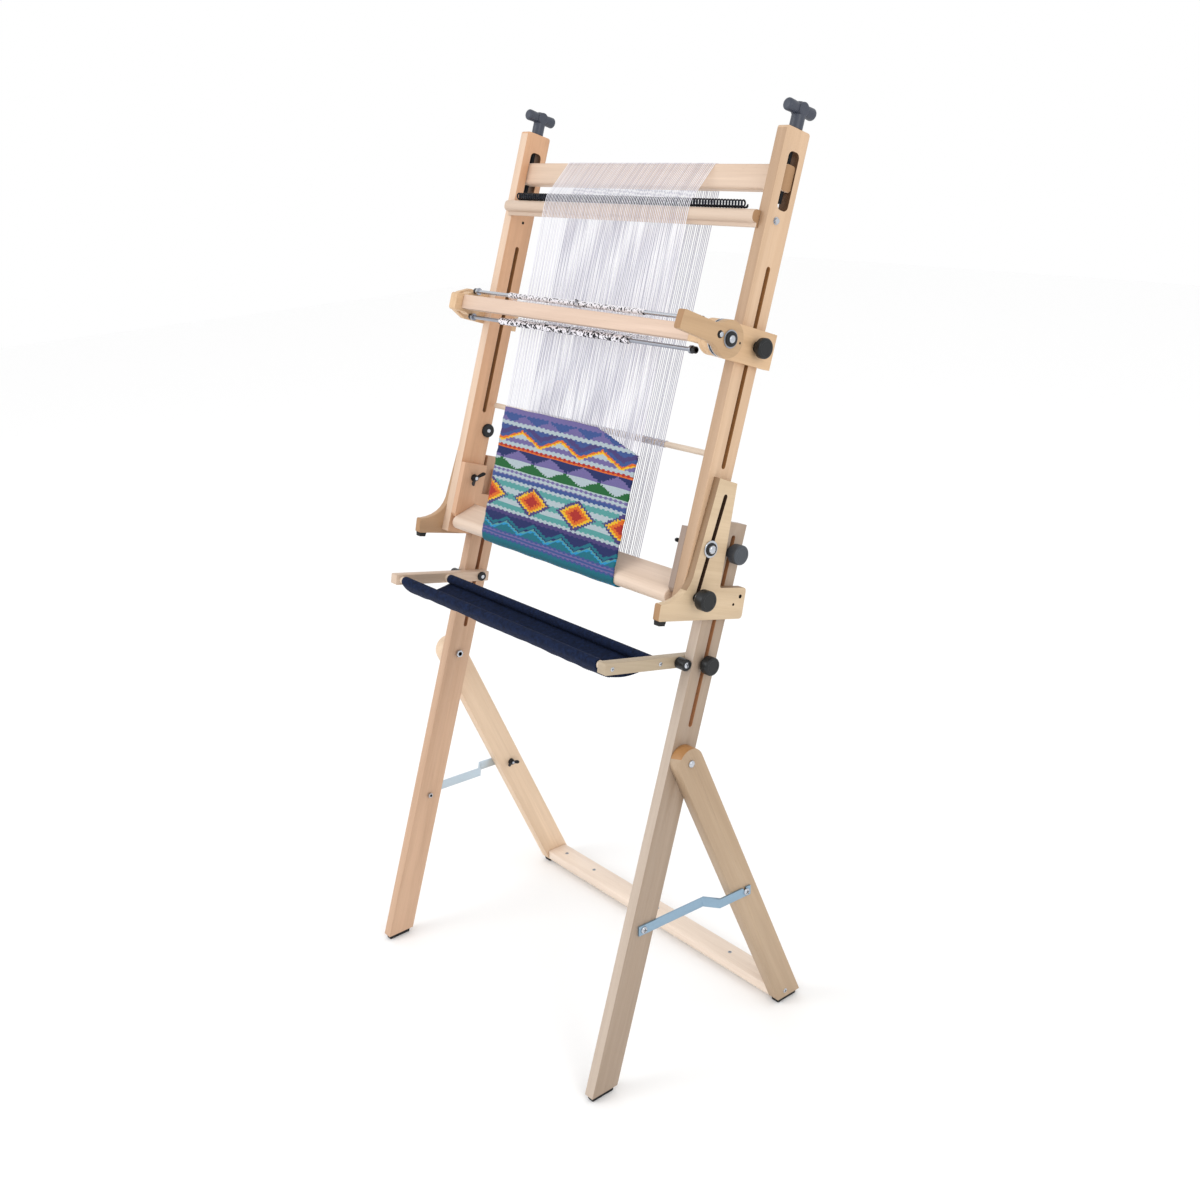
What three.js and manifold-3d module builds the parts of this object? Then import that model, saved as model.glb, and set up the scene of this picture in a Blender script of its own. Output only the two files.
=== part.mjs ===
// Tapestry loom on its folding floor stand, in millimetres, +Z up, X across the loom, -Y towards the weaver.
// The boards that lean back are drawn in a leaning frame: y is square to the boards (n), z runs up them (s).
import * as THREE from "three";
import { mergeVertices } from "three/addons/utils/BufferGeometryUtils.js";
import Module from "manifold-3d";

const wasm = await Module();
wasm.setup();

// Driving dimensions
const clearance = 0.3;
const gaugeHalf = 310;
const boardWide = 49.6;
const boardThick = 19;
const rearLegThick = 22;
const tableFootThick = 12.7;
const leanDeg = 19.1;
const rearLeanDeg = 22.5;
const padHigh = 8;
const legLong = 945;
const legSlotEnd = 19;
const legSlotLong = 304;
const legSlotHigh = legLong - legSlotEnd;
const legSlotLow = legSlotHigh - legSlotLong;
const legSlotBack = 26.5;
const slotWide = 7.8;
const hingeBelowSlot = 52.5;
const hingeUp = legSlotLow - hingeBelowSlot;
const standBoltDrop = 26;
const standBoltUp = legSlotHigh - standBoltDrop;
const hingeBoltDia = 8;
const bigBoltDia = 7;
const smallBoltDia = 6.4;
const boltClear = 0.6;
const screwHeadDia = 12;
const chordError = 0.12;

// Brace sizes
const braceWide = 16.5;
const braceThick = 3;
const braceBelowHinge = 281;
const braceFrontUp = hingeUp - braceBelowHinge;
const braceRearDown = 296;
const braceBoltDia = 5;
const braceEnd = 10;
const braceJogAt = 128;
const braceJogRun = 17;

// Crossbar and pad sizes
const crossbarDeep = 44;
const crossbarHigh = 19;
const crossbarAhead = 1.5;
const padInsetSide = 3.5;
const padInsetFront = 2;
const padInsetBack = 5;
const padTaper = 1.5;

// Upright sizes
const uprightGap = 6.2;
const uprightBelowBolt = 103;
const uprightLong = 721;
const uprightLow = standBoltUp - uprightBelowBolt;
const uprightHigh = uprightLow + uprightLong;
const uprightRound = 4;
const uprightAxis = 29;
const shedSlotDrop = 197;
const shedSlotLong = 300;
const shedSlotHigh = uprightHigh - shedSlotDrop;
const shedSlotLow = shedSlotHigh - shedSlotLong;
const windowDrop = 32;
const windowLong = 84;
const windowHigh = uprightHigh - windowDrop;
const windowLow = windowHigh - windowLong;
const windowWide = 22.4;
const windowRound = 8;

// Beam, bar and spring sizes
const topBeamHigh = 38;
const topBeamDeep = 21;
const topBeamRise = 46.5;
const topBeamMid = windowLow + topBeamRise;
const topBeamEndGap = 2;
const topBeamRound = 5;
const barHigh = 19;
const barDeep = 15.5;
const barBelowWindow = 26;
const barLow = windowLow - barBelowWindow;
const barOverlap = 5.5;
const barCorner = 8;
const barLipDeep = 4;
const barLipDrop = 6;
const springRadius = 5.5;
const springWire = 2;
const springTurns = 72;
const springEndGap = 25;
const noseRadius = 12;
const noseN = -46.5;
const noseRise = 21;
const noseS = uprightLow + noseRise;
const bottomBeamDeep = 58;
const bottomBeamTiltDeg = 36.2;

// Tension handle sizes
const tensionRodDia = 8;
const tensionNeckDia = 20.5;
const tensionNeckHigh = 20.2;
const tensionBarLong = 58;
const tensionBarDia = 17;
const tensionLobeDia = 18.5;
const rodAboveWindow = 10;
const tensionRodLow = windowLow + rodAboveWindow;

// Plate sizes
const plateThick = 12;
const plateAboveBolt = 27;
const plateTall = 101;
const plateHigh = standBoltUp + plateAboveBolt;
const plateLow = plateHigh - plateTall;
const cleatAboveBolt = 22;
const cleatTall = 122;
const cleatStepDrop = 47;
const cleatHigh = standBoltUp + cleatAboveBolt;
const cleatLow = cleatHigh - cleatTall;
const cleatStep = cleatHigh - cleatStepDrop;
const cleatDeep = 46;
const cleatRise = 14;

// Table foot sizes, in the foot's own frame: a runs back from the toe, b runs up from the sole
const footTiltDeg = 5.5;
const footToeN = -103.3;
const footBelowUpright = 12.1;
const footToeS = uprightLow - footBelowUpright;
const footLong = 175;
const toeHigh = 26;
const heelHigh = 49.5;
const stemBack = 117;
const stemFront = 57;
const stemFrontHigh = 66;
const stemTopFront = 81;
const stemTopHigh = 216;
const stemTopWide = 38.5;
const footSlotTop = 188.5;
const footSlotBottom = 35.5;
const footSlotWide = 7.6;
const footSlotLeanDeg = 10.35;
const footBoltRise = 75;
const pegHoleDia = 6.5;
const pinHoleDia = 4.6;

// Shed sizes
const shedBelowSlotEnd = 118.2;
const shedUp = shedSlotHigh - shedBelowSlotEnd;
const shedArmProud = 8.5;
const clampRise = 1.3;
const pivotAhead = 106.5;
const bracketHigh = 53;
const bracketThick = 12.7;
const bracketNoseLeft = 20;
const bracketBackRight = 13.3;
const bracketBackLeft = 24;
const armThick = 19;
const discRadius = 27;
const discStack = 6;
const spacerRadius = 11;
const armRadius = 20;
const armEndHigh = 26;
const armDiscRadius = 26.5;
const armDiscThick = 6.5;
const armNoseHigh = 30;
const armNoseOut = 35.5;
const armNoseDrop = 2;
const handleRadius = 27;
const handleThick = 13;
const handleLong = 99;
const handleHigh = 28;
const handleTiltDeg = 4.9;
const heddleBarHigh = 24;
const heddleBarDeep = 18.5;
const heddleBarFront = 22.5;
const rodDia = 6.4;
const rodOffset = 22.3;
const rodCapDia = 10.5;
const rodCapLong = 8;
const rodCollarDia = 12.5;
const rodCollarLong = 4;
const heddleDia = 12;

// Warp and weaving sizes
const warpLeft = -190;
const warpRight = 172;
const warpThick = 1;
const clothThick = 3;
const weavingTall = 223;
const weavingStep = 30;
const weavingTop = noseS + weavingTall;
const weavingStepTop = weavingTop - weavingStep;
const weavingStepAt = 60;
const turnRodDia = 9.5;
const turnRodGapLeft = 6.5;
const turnRodGapRight = 34.5;
const turnRodDrop = 3;
const turnRodUp = weavingTop - turnRodDrop;

// Trough sizes
const armHigh = 18;
const troughArmThick = 18;
const troughArmLong = 200;
const troughSlotRise = 101.6;
const troughUp = legSlotLow + troughSlotRise;
const troughTiltDeg = 7.3;
const troughArmBack = 16.3;
const armAhead = troughArmLong - troughArmBack;
const dowelDia = 13;
const dowelEndGap = 12.5;
const dowelApart = 96;
const frontDowelAhead = armAhead - dowelEndGap;
const rearDowelAhead = frontDowelAhead - dowelApart;
const slingThick = 1.4;
const slingGapLeft = 10;
const slingGapRight = 1.4;
const slingSag = 25.5;
const peg = { dia: 19, long: 19.2 };

// Knob sizes: head diameter and length, stem diameter and length
const footKnob = { head: 32, headLong: 16.5, stem: 15, stemLong: 11.5 };
const standKnob = { head: 31, headLong: 16, stem: 18, stemLong: 9 };
const troughKnob = { head: 29.5, headLong: 14, stem: 18, stemLong: 5 };
const shedKnob = { head: 30.5, headLong: 10, stem: 18, stemLong: 8.3 };
const washerDia = 26.5;

// Places worked out from the sizes
const rad = THREE.MathUtils.degToRad;
const lean = rad(leanDeg);
const rearLean = rad(rearLeanDeg);
const innerFace = gaugeHalf - boardThick / 2;
const outerFace = gaugeHalf + boardThick / 2;
const legMid = boardWide / 2;
const uprightMid = -uprightAxis;
const uprightFront = -uprightGap - boardWide;
const legBase = padHigh + clearance;
const rearLegInner = outerFace + clearance;
const rearLegOuter = rearLegInner + rearLegThick;
const tableFootInner = outerFace + clearance;
const tableFootOuter = tableFootInner + tableFootThick;
const plateInner = innerFace - clearance - plateThick;
const beamHalf = plateInner - clearance;
const pivotN = -pivotAhead;
const bracketInner = outerFace + clearance;
const bracketOuter = bracketInner + bracketThick;
const handleInner = bracketOuter + discStack + 2 * clearance;
const handleOuter = handleInner + handleThick;
const shedArmOuter = innerFace + shedArmProud;
const shedArmInner = shedArmOuter - armThick;
const troughArmOuter = innerFace - clearance;
const troughArmInner = troughArmOuter - troughArmThick;
const slingHalf = troughArmInner - (slingGapLeft + slingGapRight) / 2;
const slingShift = (slingGapLeft - slingGapRight) / 2;
const barHalf = innerFace + barOverlap;
const springHalf = barHalf - springEndGap;
const turnRodHalf = innerFace - (turnRodGapLeft + turnRodGapRight) / 2;
const turnRodShift = (turnRodGapLeft - turnRodGapRight) / 2;

// Colours read from the photograph's woods, metals and yarns
const maple = { color: 0xe3c39c, roughness: 0.55, metalness: 0 };
const steel = { color: 0xb8c2cc, roughness: 0.3, metalness: 1 };
const blackPlastic = { color: 0x1c1e22, roughness: 0.35, metalness: 0 };
const rubber = { color: 0x141414, roughness: 0.8, metalness: 0 };
const blackSteel = { color: 0x26282c, roughness: 0.4, metalness: 0.6 };
const cotton = { color: 0xe9e8f0, roughness: 0.9, metalness: 0 };
const denim = { color: 0x1d2a4d, roughness: 0.95, metalness: 0 };
const weaving = { color: 0x6f62a8, roughness: 0.95, metalness: 0 };

// A closed geometry as a solid that can be joined and cut, and back
function solid(geometry) {
  const bare = geometry.clone();
  for (const name of ["normal", "uv"]) bare.deleteAttribute(name);
  const merged = mergeVertices(bare, 1e-4);
  return new wasm.Manifold(
    new wasm.Mesh({
      numProp: 3,
      vertProperties: merged.attributes.position.array,
      triVerts: new Uint32Array(merged.index.array),
    }),
  );
}

function geometryOf(body) {
  const mesh = body.getMesh();
  const geometry = new THREE.BufferGeometry();
  geometry.setAttribute("position", new THREE.BufferAttribute(mesh.vertProperties, 3));
  geometry.setIndex(new THREE.BufferAttribute(mesh.triVerts, 1));
  geometry.computeVertexNormals();
  return geometry;
}

// Outlines are lists of points in (y, z); an arc keeps within the chord error
const at = (y, z) => new THREE.Vector2(y, z);

function arc(y, z, radius, from, to) {
  const step = 2 * Math.acos(1 - chordError / radius);
  const count = Math.max(1, Math.ceil(Math.abs(to - from) / step));
  const points = [];
  for (let i = 0; i <= count; i++) {
    const turn = from + ((to - from) * i) / count;
    points.push(at(y + radius * Math.cos(turn), z + radius * Math.sin(turn)));
  }
  return points;
}

// A board along X from x, with its outline and its holes given in (y, z)
function board(outline, holes, thickness, x) {
  const shape = new THREE.Shape(outline);
  for (const hole of holes) shape.holes.push(new THREE.Path(hole));
  const geometry = new THREE.ExtrudeGeometry(shape, { depth: thickness, bevelEnabled: false });
  const toSide = new THREE.Matrix4().makeBasis(
    new THREE.Vector3(0, 1, 0),
    new THREE.Vector3(0, 0, 1),
    new THREE.Vector3(1, 0, 0),
  );
  return geometry.applyMatrix4(toSide).translate(x, 0, 0);
}

// A turned piece along X from a profile of [x, radius] that starts and ends on the axis
function turned(profile, sides = 16) {
  const points = profile.map(([x, radius]) => new THREE.Vector2(radius, x));
  return new THREE.LatheGeometry(points, sides).rotateZ(-Math.PI / 2);
}

function rod(x, long, diameter, sides = 14) {
  return turned([[x, 0], [x, diameter / 2], [x + long, diameter / 2], [x + long, 0]], sides);
}

function join(...geometries) {
  return geometryOf(geometries.map(solid).reduce((whole, piece) => whole.add(piece)));
}

function cut(geometry, ...tools) {
  return geometryOf(tools.map(solid).reduce((whole, tool) => whole.subtract(tool), solid(geometry)));
}

function holeAt(y, z, diameter) {
  return arc(y, z, diameter / 2, 0, 2 * Math.PI).slice(0, -1);
}

// A slot with round ends between two centres
function slotBetween(from, to, wide) {
  const angle = Math.atan2(to.y - from.y, to.x - from.x);
  return [
    ...arc(to.x, to.y, wide / 2, angle - Math.PI / 2, angle + Math.PI / 2),
    ...arc(from.x, from.y, wide / 2, angle + Math.PI / 2, angle + 1.5 * Math.PI),
  ];
}

function rectangle(y0, z0, y1, z1, round = 0) {
  if (round === 0) return [at(y0, z0), at(y1, z0), at(y1, z1), at(y0, z1)];
  return [
    ...arc(y1 - round, z0 + round, round, -Math.PI / 2, 0),
    ...arc(y1 - round, z1 - round, round, 0, Math.PI / 2),
    ...arc(y0 + round, z1 - round, round, Math.PI / 2, Math.PI),
    ...arc(y0 + round, z0 + round, round, Math.PI, 1.5 * Math.PI),
  ];
}

// The route of a taut sheet round circles, all on one side of it, between two contact angles
function belt(circles, from, to) {
  const way = Math.sign(to - from);
  const points = [];
  let angle = from;
  circles.forEach((circle, i) => {
    const next = circles[i + 1];
    let leave = to;
    if (next) {
      const run = Math.atan2(next.s - circle.s, next.n - circle.n);
      const apart = Math.hypot(next.s - circle.s, next.n - circle.n);
      leave = run - way * Math.acos((circle.r - next.r) / apart);
      leave += 2 * Math.PI * Math.round((angle - leave) / (2 * Math.PI));
    }
    points.push(...arc(circle.n, circle.s, circle.r, angle, leave));
    angle = leave;
  });
  return points;
}

// A sheet of even thickness over columns at the given x, each a route of as many (n, s) points
function sheetOver(xs, routes, thickness) {
  const columns = xs.length - 1;
  const rows = routes[0].length - 1;
  const point = (column, row) => {
    const place = routes[column][row];
    return new THREE.Vector3(xs[column], place.x, place.y);
  };
  const outer = [];
  const inner = [];
  for (let row = 0; row <= rows; row++) {
    for (let column = 0; column <= columns; column++) {
      const along = point(column, Math.min(row + 1, rows)).sub(point(column, Math.max(row - 1, 0)));
      const across = point(Math.min(column + 1, columns), row).sub(point(Math.max(column - 1, 0), row));
      const normal = across.cross(along).normalize();
      outer.push(...point(column, row).addScaledVector(normal, thickness / 2).toArray());
      inner.push(...point(column, row).addScaledVector(normal, -thickness / 2).toArray());
    }
  }
  const wide = columns + 1;
  const count = wide * (rows + 1);
  const faces = [];
  const quad = (a, b, c, d) => faces.push(a, b, c, a, c, d);
  for (let row = 0; row < rows; row++) {
    for (let column = 0; column < columns; column++) {
      const a = row * wide + column;
      quad(a, a + 1, a + wide + 1, a + wide);
      quad(count + a, count + a + wide, count + a + wide + 1, count + a + 1);
    }
  }
  for (let column = 0; column < columns; column++) {
    const last = rows * wide + column;
    quad(column, count + column, count + column + 1, column + 1);
    quad(last, last + 1, count + last + 1, count + last);
  }
  for (let row = 0; row < rows; row++) {
    const left = row * wide;
    const right = left + columns;
    quad(left, left + wide, count + left + wide, count + left);
    quad(right, count + right, count + right + wide, right + wide);
  }
  const geometry = new THREE.BufferGeometry();
  geometry.setAttribute("position", new THREE.Float32BufferAttribute([...outer, ...inner], 3));
  geometry.setIndex(faces);
  geometry.computeVertexNormals();
  return geometry;
}

// A round wire along a list of points, as one unbroken tube with flat ends
function wire(points, radius, sides) {
  const position = [];
  const faces = [];
  const last = points.length - 1;
  let normal = null;
  points.forEach((point, i) => {
    const along = points[Math.min(i + 1, last)].clone().sub(points[Math.max(i - 1, 0)]).normalize();
    if (!normal) normal = new THREE.Vector3(0, 0, 1).cross(along).normalize();
    normal.addScaledVector(along, -normal.dot(along)).normalize();
    const side = along.clone().cross(normal);
    for (let k = 0; k < sides; k++) {
      const turn = (2 * Math.PI * k) / sides;
      const corner = point.clone();
      corner.addScaledVector(normal, radius * Math.cos(turn));
      corner.addScaledVector(side, radius * Math.sin(turn));
      position.push(...corner.toArray());
    }
  });
  for (let i = 0; i < last; i++) {
    for (let k = 0; k < sides; k++) {
      const a = i * sides + k;
      const b = i * sides + ((k + 1) % sides);
      faces.push(a, b, b + sides, a, b + sides, a + sides);
    }
  }
  for (let k = 1; k < sides - 1; k++) {
    faces.push(0, k + 1, k);
    faces.push(last * sides, last * sides + k, last * sides + k + 1);
  }
  const geometry = new THREE.BufferGeometry();
  geometry.setAttribute("position", new THREE.Float32BufferAttribute(position, 3));
  geometry.setIndex(faces);
  geometry.computeVertexNormals();
  return geometry;
}

function piece(name, geometry, look, parent) {
  const mesh = new THREE.Mesh(geometry, new THREE.MeshStandardMaterial(look));
  mesh.name = name;
  parent.add(mesh);
  return mesh;
}

// A geometry on the right side, and its mirror image for the left
function onSide(geometry, side) {
  if (side > 0) return geometry;
  const mirrored = geometry.index ? geometry.toNonIndexed() : geometry.clone();
  const position = mirrored.attributes.position;
  for (let i = 0; i < position.count; i++) position.setX(i, -position.getX(i));
  for (let i = 0; i < position.count; i += 3) {
    const [x, y, z] = [position.getX(i), position.getY(i), position.getZ(i)];
    position.setXYZ(i, position.getX(i + 1), position.getY(i + 1), position.getZ(i + 1));
    position.setXYZ(i + 1, x, y, z);
  }
  mirrored.computeVertexNormals();
  return mirrored;
}

const sides = [
  ["left", -1],
  ["right", 1],
];

// Frames: the stand on the floor, the leaning boards, and the rear frame about its hinge
const loom = new THREE.Group();
const floor = new THREE.Group();
const leaning = new THREE.Group();
leaning.position.z = legBase;
leaning.rotation.x = -lean;
floor.add(leaning);
loom.add(floor);

// A point of the leaning frame in the floor's frame, as y and z
function standing(n, s) {
  return {
    y: s * Math.sin(lean) + n * Math.cos(lean),
    z: legBase + s * Math.cos(lean) - n * Math.sin(lean),
  };
}

const hinge = standing(legMid, hingeUp);
const rearFrame = new THREE.Group();
rearFrame.position.set(0, hinge.y, hinge.z);
rearFrame.rotation.x = rearLean;
floor.add(rearFrame);

// Front legs: slotted maple boards, cut level at the floor and square at the top
function frontLeg() {
  const outline = [
    at(0, 0),
    at(boardWide, boardWide * Math.tan(lean)),
    at(boardWide, legLong),
    at(0, legLong),
  ];
  const low = at(legSlotBack, legSlotLow + slotWide / 2);
  const high = at(legSlotBack, legSlotHigh - slotWide / 2);
  const holes = [
    slotBetween(low, high, slotWide),
    holeAt(legMid, hingeUp, hingeBoltDia + boltClear),
    holeAt(legMid, braceFrontUp, braceBoltDia + boltClear),
  ];
  return board(outline, holes, boardThick, innerFace);
}

// Rear legs: boards with a round top about the hinge, cut level at the floor
function rearLegFoot(y) {
  return (legBase - hinge.z - y * Math.sin(rearLean)) / Math.cos(rearLean);
}

function rearLeg() {
  const half = boardWide / 2;
  const outline = [
    ...arc(0, 0, half, 0, Math.PI),
    at(-half, rearLegFoot(-half)),
    at(half, rearLegFoot(half)),
  ];
  const holes = [
    holeAt(0, 0, hingeBoltDia + boltClear),
    holeAt(0, -braceRearDown, braceBoltDia + boltClear),
  ];
  return board(outline, holes, rearLegThick, rearLegInner);
}

// Bolts with a domed head outside and a nut inside
function bolt({ inner, outer, diameter, head, nut, nutLong = 5, headLong = 3.5 }) {
  return turned([
    [inner - clearance - nutLong, 0],
    [inner - clearance - nutLong, nut / 2],
    [inner - clearance, nut / 2],
    [inner - clearance, diameter / 2],
    [outer + clearance, diameter / 2],
    [outer + clearance, head / 2],
    [outer + clearance + headLong * 0.5, head / 2],
    [outer + clearance + headLong * 0.85, head / 3],
    [outer + clearance + headLong, 0],
  ]);
}

function hingeBolt() {
  return bolt({
    inner: innerFace,
    outer: rearLegOuter,
    diameter: hingeBoltDia,
    head: screwHeadDia,
    nut: 12,
  });
}

// Two wings of a wing nut, along z, standing off the nut's face
function wings(x, reach) {
  return board(rectangle(-2, -reach, 2, reach, 1.5), [], 6, x - 8);
}

function wingBolt({ inner, outer, diameter, head, reach }) {
  const shank = bolt({ inner, outer, diameter, head, nut: 14, nutLong: 7 });
  return join(shank, wings(inner - clearance - 2, reach));
}

// Braces: flat steel with one step, from the front leg's face to the rear leg's face
const braceFront = standing(legMid, braceFrontUp);
const braceRear = {
  y: hinge.y + braceRearDown * Math.sin(rearLean),
  z: hinge.z - braceRearDown * Math.cos(rearLean),
};
const braceLong = Math.hypot(braceRear.y - braceFront.y, braceRear.z - braceFront.z);
const braceAngle = Math.atan2(braceRear.z - braceFront.z, braceRear.y - braceFront.y);
const notchLeanDeg = 28.3;

function brace() {
  const low = outerFace + clearance;
  const high = rearLegOuter + clearance;
  const jogEnd = braceJogAt + braceJogRun;
  const outline = new THREE.Shape([
    at(-braceEnd, low),
    at(braceJogAt + braceThick, low),
    at(jogEnd + braceThick, high),
    at(braceLong + braceEnd, high),
    at(braceLong + braceEnd, high + braceThick),
    at(jogEnd, high + braceThick),
    at(braceJogAt, low + braceThick),
    at(-braceEnd, low + braceThick),
  ]);
  const strip = new THREE.ExtrudeGeometry(outline, { depth: braceWide, bevelEnabled: false });
  // The outline's x is along the brace (y here), its y is X, and the extrusion runs up
  const stand = new THREE.Matrix4().makeBasis(
    new THREE.Vector3(0, 1, 0),
    new THREE.Vector3(1, 0, 0),
    new THREE.Vector3(0, 0, -1),
  );
  strip.applyMatrix4(stand).translate(0, 0, braceWide / 2);
  const hole = braceBoltDia + boltClear;
  const frontHole = rod(low - 1, braceThick + 2, hole);
  const rearHole = rod(high - 1, braceThick + 2, hole).translate(0, braceLong, 0);
  const notch = new THREE.BoxGeometry(braceThick + 2, hole, braceWide);
  notch.translate(high + braceThick / 2, 0, braceWide / 2);
  notch.rotateX(rad(notchLeanDeg)).translate(0, braceLong, 0);
  return cut(strip, frontHole, rearHole, notch);
}

// Rubber pads under the level-cut leg ends
function pad(yFrom, yTo, thick, x) {
  const outline = [
    at(yFrom + padInsetFront + padTaper, 0),
    at(yTo - padInsetBack - padTaper, 0),
    at(yTo - padInsetBack, padHigh),
    at(yFrom + padInsetFront, padHigh),
  ];
  return board(outline, [], thick - 2 * padInsetSide, x + padInsetSide);
}

for (const [name, side] of sides) {
  piece("front_leg_" + name, onSide(frontLeg(), side), maple, leaning);
  piece("rear_leg_" + name, onSide(rearLeg(), side), maple, rearFrame);
  const hingePiece = piece("hinge_bolt_" + name, onSide(hingeBolt(), side), steel, floor);
  hingePiece.position.set(0, hinge.y, hinge.z);

  const bracePiece = piece("brace_" + name, onSide(brace(), side), steel, floor);
  bracePiece.position.set(0, braceFront.y, braceFront.z);
  bracePiece.rotation.x = braceAngle;

  const pivot = bolt({
    inner: innerFace,
    outer: outerFace + clearance + braceThick,
    diameter: braceBoltDia,
    head: screwHeadDia,
    nut: 10,
  });
  const pivotPiece = piece("brace_pivot_bolt_" + name, onSide(pivot, side), steel, floor);
  pivotPiece.position.set(0, braceFront.y, braceFront.z);

  const rearBolt = wingBolt({
    inner: rearLegInner,
    outer: rearLegOuter + clearance + braceThick,
    diameter: braceBoltDia,
    head: screwHeadDia,
    reach: 13,
  });
  const rearBoltPiece = piece("brace_wing_bolt_" + name, onSide(rearBolt, side), blackSteel, rearFrame);
  rearBoltPiece.position.set(0, 0, -braceRearDown);

  const frontRun = boardWide / Math.cos(lean);
  const frontPad = pad(0, frontRun, boardThick, innerFace);
  piece("foot_pad_front_" + name, onSide(frontPad, side), rubber, floor);

  const rearRun = boardWide / Math.cos(rearLean);
  const rearMid = hinge.y + (hinge.z - legBase) * Math.tan(rearLean);
  const rearPad = pad(rearMid - rearRun / 2, rearMid + rearRun / 2, rearLegThick, rearLegInner);
  piece("foot_pad_rear_" + name, onSide(rearPad, side), rubber, floor);
}

// Rear crossbar: a flat board between the rear legs, just above the pads
const crossbarMid = hinge.y + (hinge.z - legBase - crossbarHigh / 2) * Math.tan(rearLean) - crossbarAhead;
const crossbarOutline = rectangle(
  crossbarMid - crossbarDeep / 2,
  legBase,
  crossbarMid + crossbarDeep / 2,
  legBase + crossbarHigh,
  1.5,
);
const crossbarHalf = rearLegInner - clearance;
piece("rear_crossbar", board(crossbarOutline, [], 2 * crossbarHalf, -crossbarHalf), maple, floor);

// The table feet's own frame, tilted a little from the leaning boards
const footTilt = rad(footTiltDeg);
const footSlotLean = rad(footSlotLeanDeg);
const tableFeet = new THREE.Group();
tableFeet.position.set(0, footToeN, footToeS);
tableFeet.rotation.x = footTilt;
leaning.add(tableFeet);

// The slot's lower end carries the knob, and the washered bolt sits a set way up the slot
const slotHeight = footSlotTop - footSlotBottom;
const slotTopA = stemTopFront + stemTopWide / 2 - 2;
const slotHigh = at(slotTopA, footSlotTop);
const slotLow = at(slotTopA - slotHeight * Math.tan(footSlotLean), footSlotBottom);
const knobSeat = slotLow.clone();
const boltSeat = at(
  slotLow.x + footBoltRise * Math.sin(footSlotLean),
  slotLow.y + footBoltRise * Math.cos(footSlotLean),
);

// A point of the table foot's frame in the leaning frame, as n and s
function leaningFromFoot(point) {
  return {
    n: footToeN + point.x * Math.cos(footTilt) - point.y * Math.sin(footTilt),
    s: footToeS + point.x * Math.sin(footTilt) + point.y * Math.cos(footTilt),
  };
}
const knobPlace = leaningFromFoot(knobSeat);
const boltPlace = leaningFromFoot(boltSeat);

// Table feet: L-shaped maple boards with a long toe, a heel and a slotted stem
function tableFoot() {
  const topBack = at(
    stemTopFront + stemTopWide * Math.cos(footSlotLean),
    stemTopHigh - stemTopWide * Math.sin(footSlotLean),
  );
  const throat = new THREE.QuadraticBezierCurve(
    at(stemFront, stemFrontHigh),
    at(stemFront - 9, toeHigh + 6),
    at(6, toeHigh),
  );
  const outline = [
    ...arc(3, 3, 3, Math.PI, 1.5 * Math.PI),
    ...arc(footLong - 6, 6, 6, -Math.PI / 2, 0),
    ...arc(footLong - 6, heelHigh - 6, 6, 0, Math.PI / 2),
    at(stemBack + 2, heelHigh),
    at(stemBack, heelHigh + 3),
    topBack,
    at(stemTopFront, stemTopHigh),
    ...throat.getPoints(6),
    ...arc(3, toeHigh - 3, 3, Math.PI / 2, Math.PI),
  ];
  const holes = [
    slotBetween(slotLow, slotHigh, footSlotWide),
    holeAt(footLong - 10.5, footSlotBottom, pegHoleDia),
    holeAt(footLong - 23, 23, pinHoleDia),
  ];
  return board(outline, holes, tableFootThick, tableFootInner);
}

// Uprights: slotted boards with a window near the top for the top beam
function upright() {
  const uprightBack = uprightFront + boardWide;
  const outline = [
    at(uprightFront, uprightLow),
    at(uprightBack, uprightLow),
    ...arc(uprightBack - uprightRound, uprightHigh - uprightRound, uprightRound, 0, Math.PI / 2),
    ...arc(uprightFront + uprightRound, uprightHigh - uprightRound, uprightRound, Math.PI / 2, Math.PI),
  ];
  const low = at(uprightMid, shedSlotLow + slotWide / 2);
  const high = at(uprightMid, shedSlotHigh - slotWide / 2);
  const halfWindow = windowWide / 2;
  const holes = [
    slotBetween(low, high, slotWide),
    holeAt(knobPlace.n, knobPlace.s, smallBoltDia + boltClear),
    holeAt(boltPlace.n, boltPlace.s, smallBoltDia + boltClear),
    rectangle(uprightMid - halfWindow, windowLow, uprightMid + halfWindow, windowHigh, windowRound),
  ];
  const rodHole = new THREE.CylinderGeometry(
    (tensionRodDia + boltClear) / 2,
    (tensionRodDia + boltClear) / 2,
    uprightHigh - windowHigh + 20,
    14,
  );
  rodHole.rotateX(Math.PI / 2).translate(gaugeHalf, uprightMid, (uprightHigh + windowHigh) / 2);
  return cut(board(outline, holes, boardThick, innerFace), rodHole);
}

// Beam plates: inboard boards that tie the uprights to the stand's legs and carry the bottom beam
function beamPlate() {
  const outline = [
    at(uprightFront, plateLow + 6),
    at(uprightFront + 5, plateLow),
    at(-uprightGap, plateLow),
    at(-uprightGap, cleatLow),
    at(cleatDeep, cleatLow),
    at(cleatDeep, cleatHigh),
    at(cleatRise, cleatHigh),
    at(cleatRise, cleatStep),
    at(-uprightGap, cleatStep),
    at(-uprightGap, plateHigh),
    at(uprightFront, plateHigh),
  ];
  const holes = [
    holeAt(legSlotBack, standBoltUp, bigBoltDia + boltClear),
    holeAt(boltPlace.n, boltPlace.s, smallBoltDia + boltClear),
  ];
  return board(outline, holes, plateThick, plateInner);
}

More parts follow.
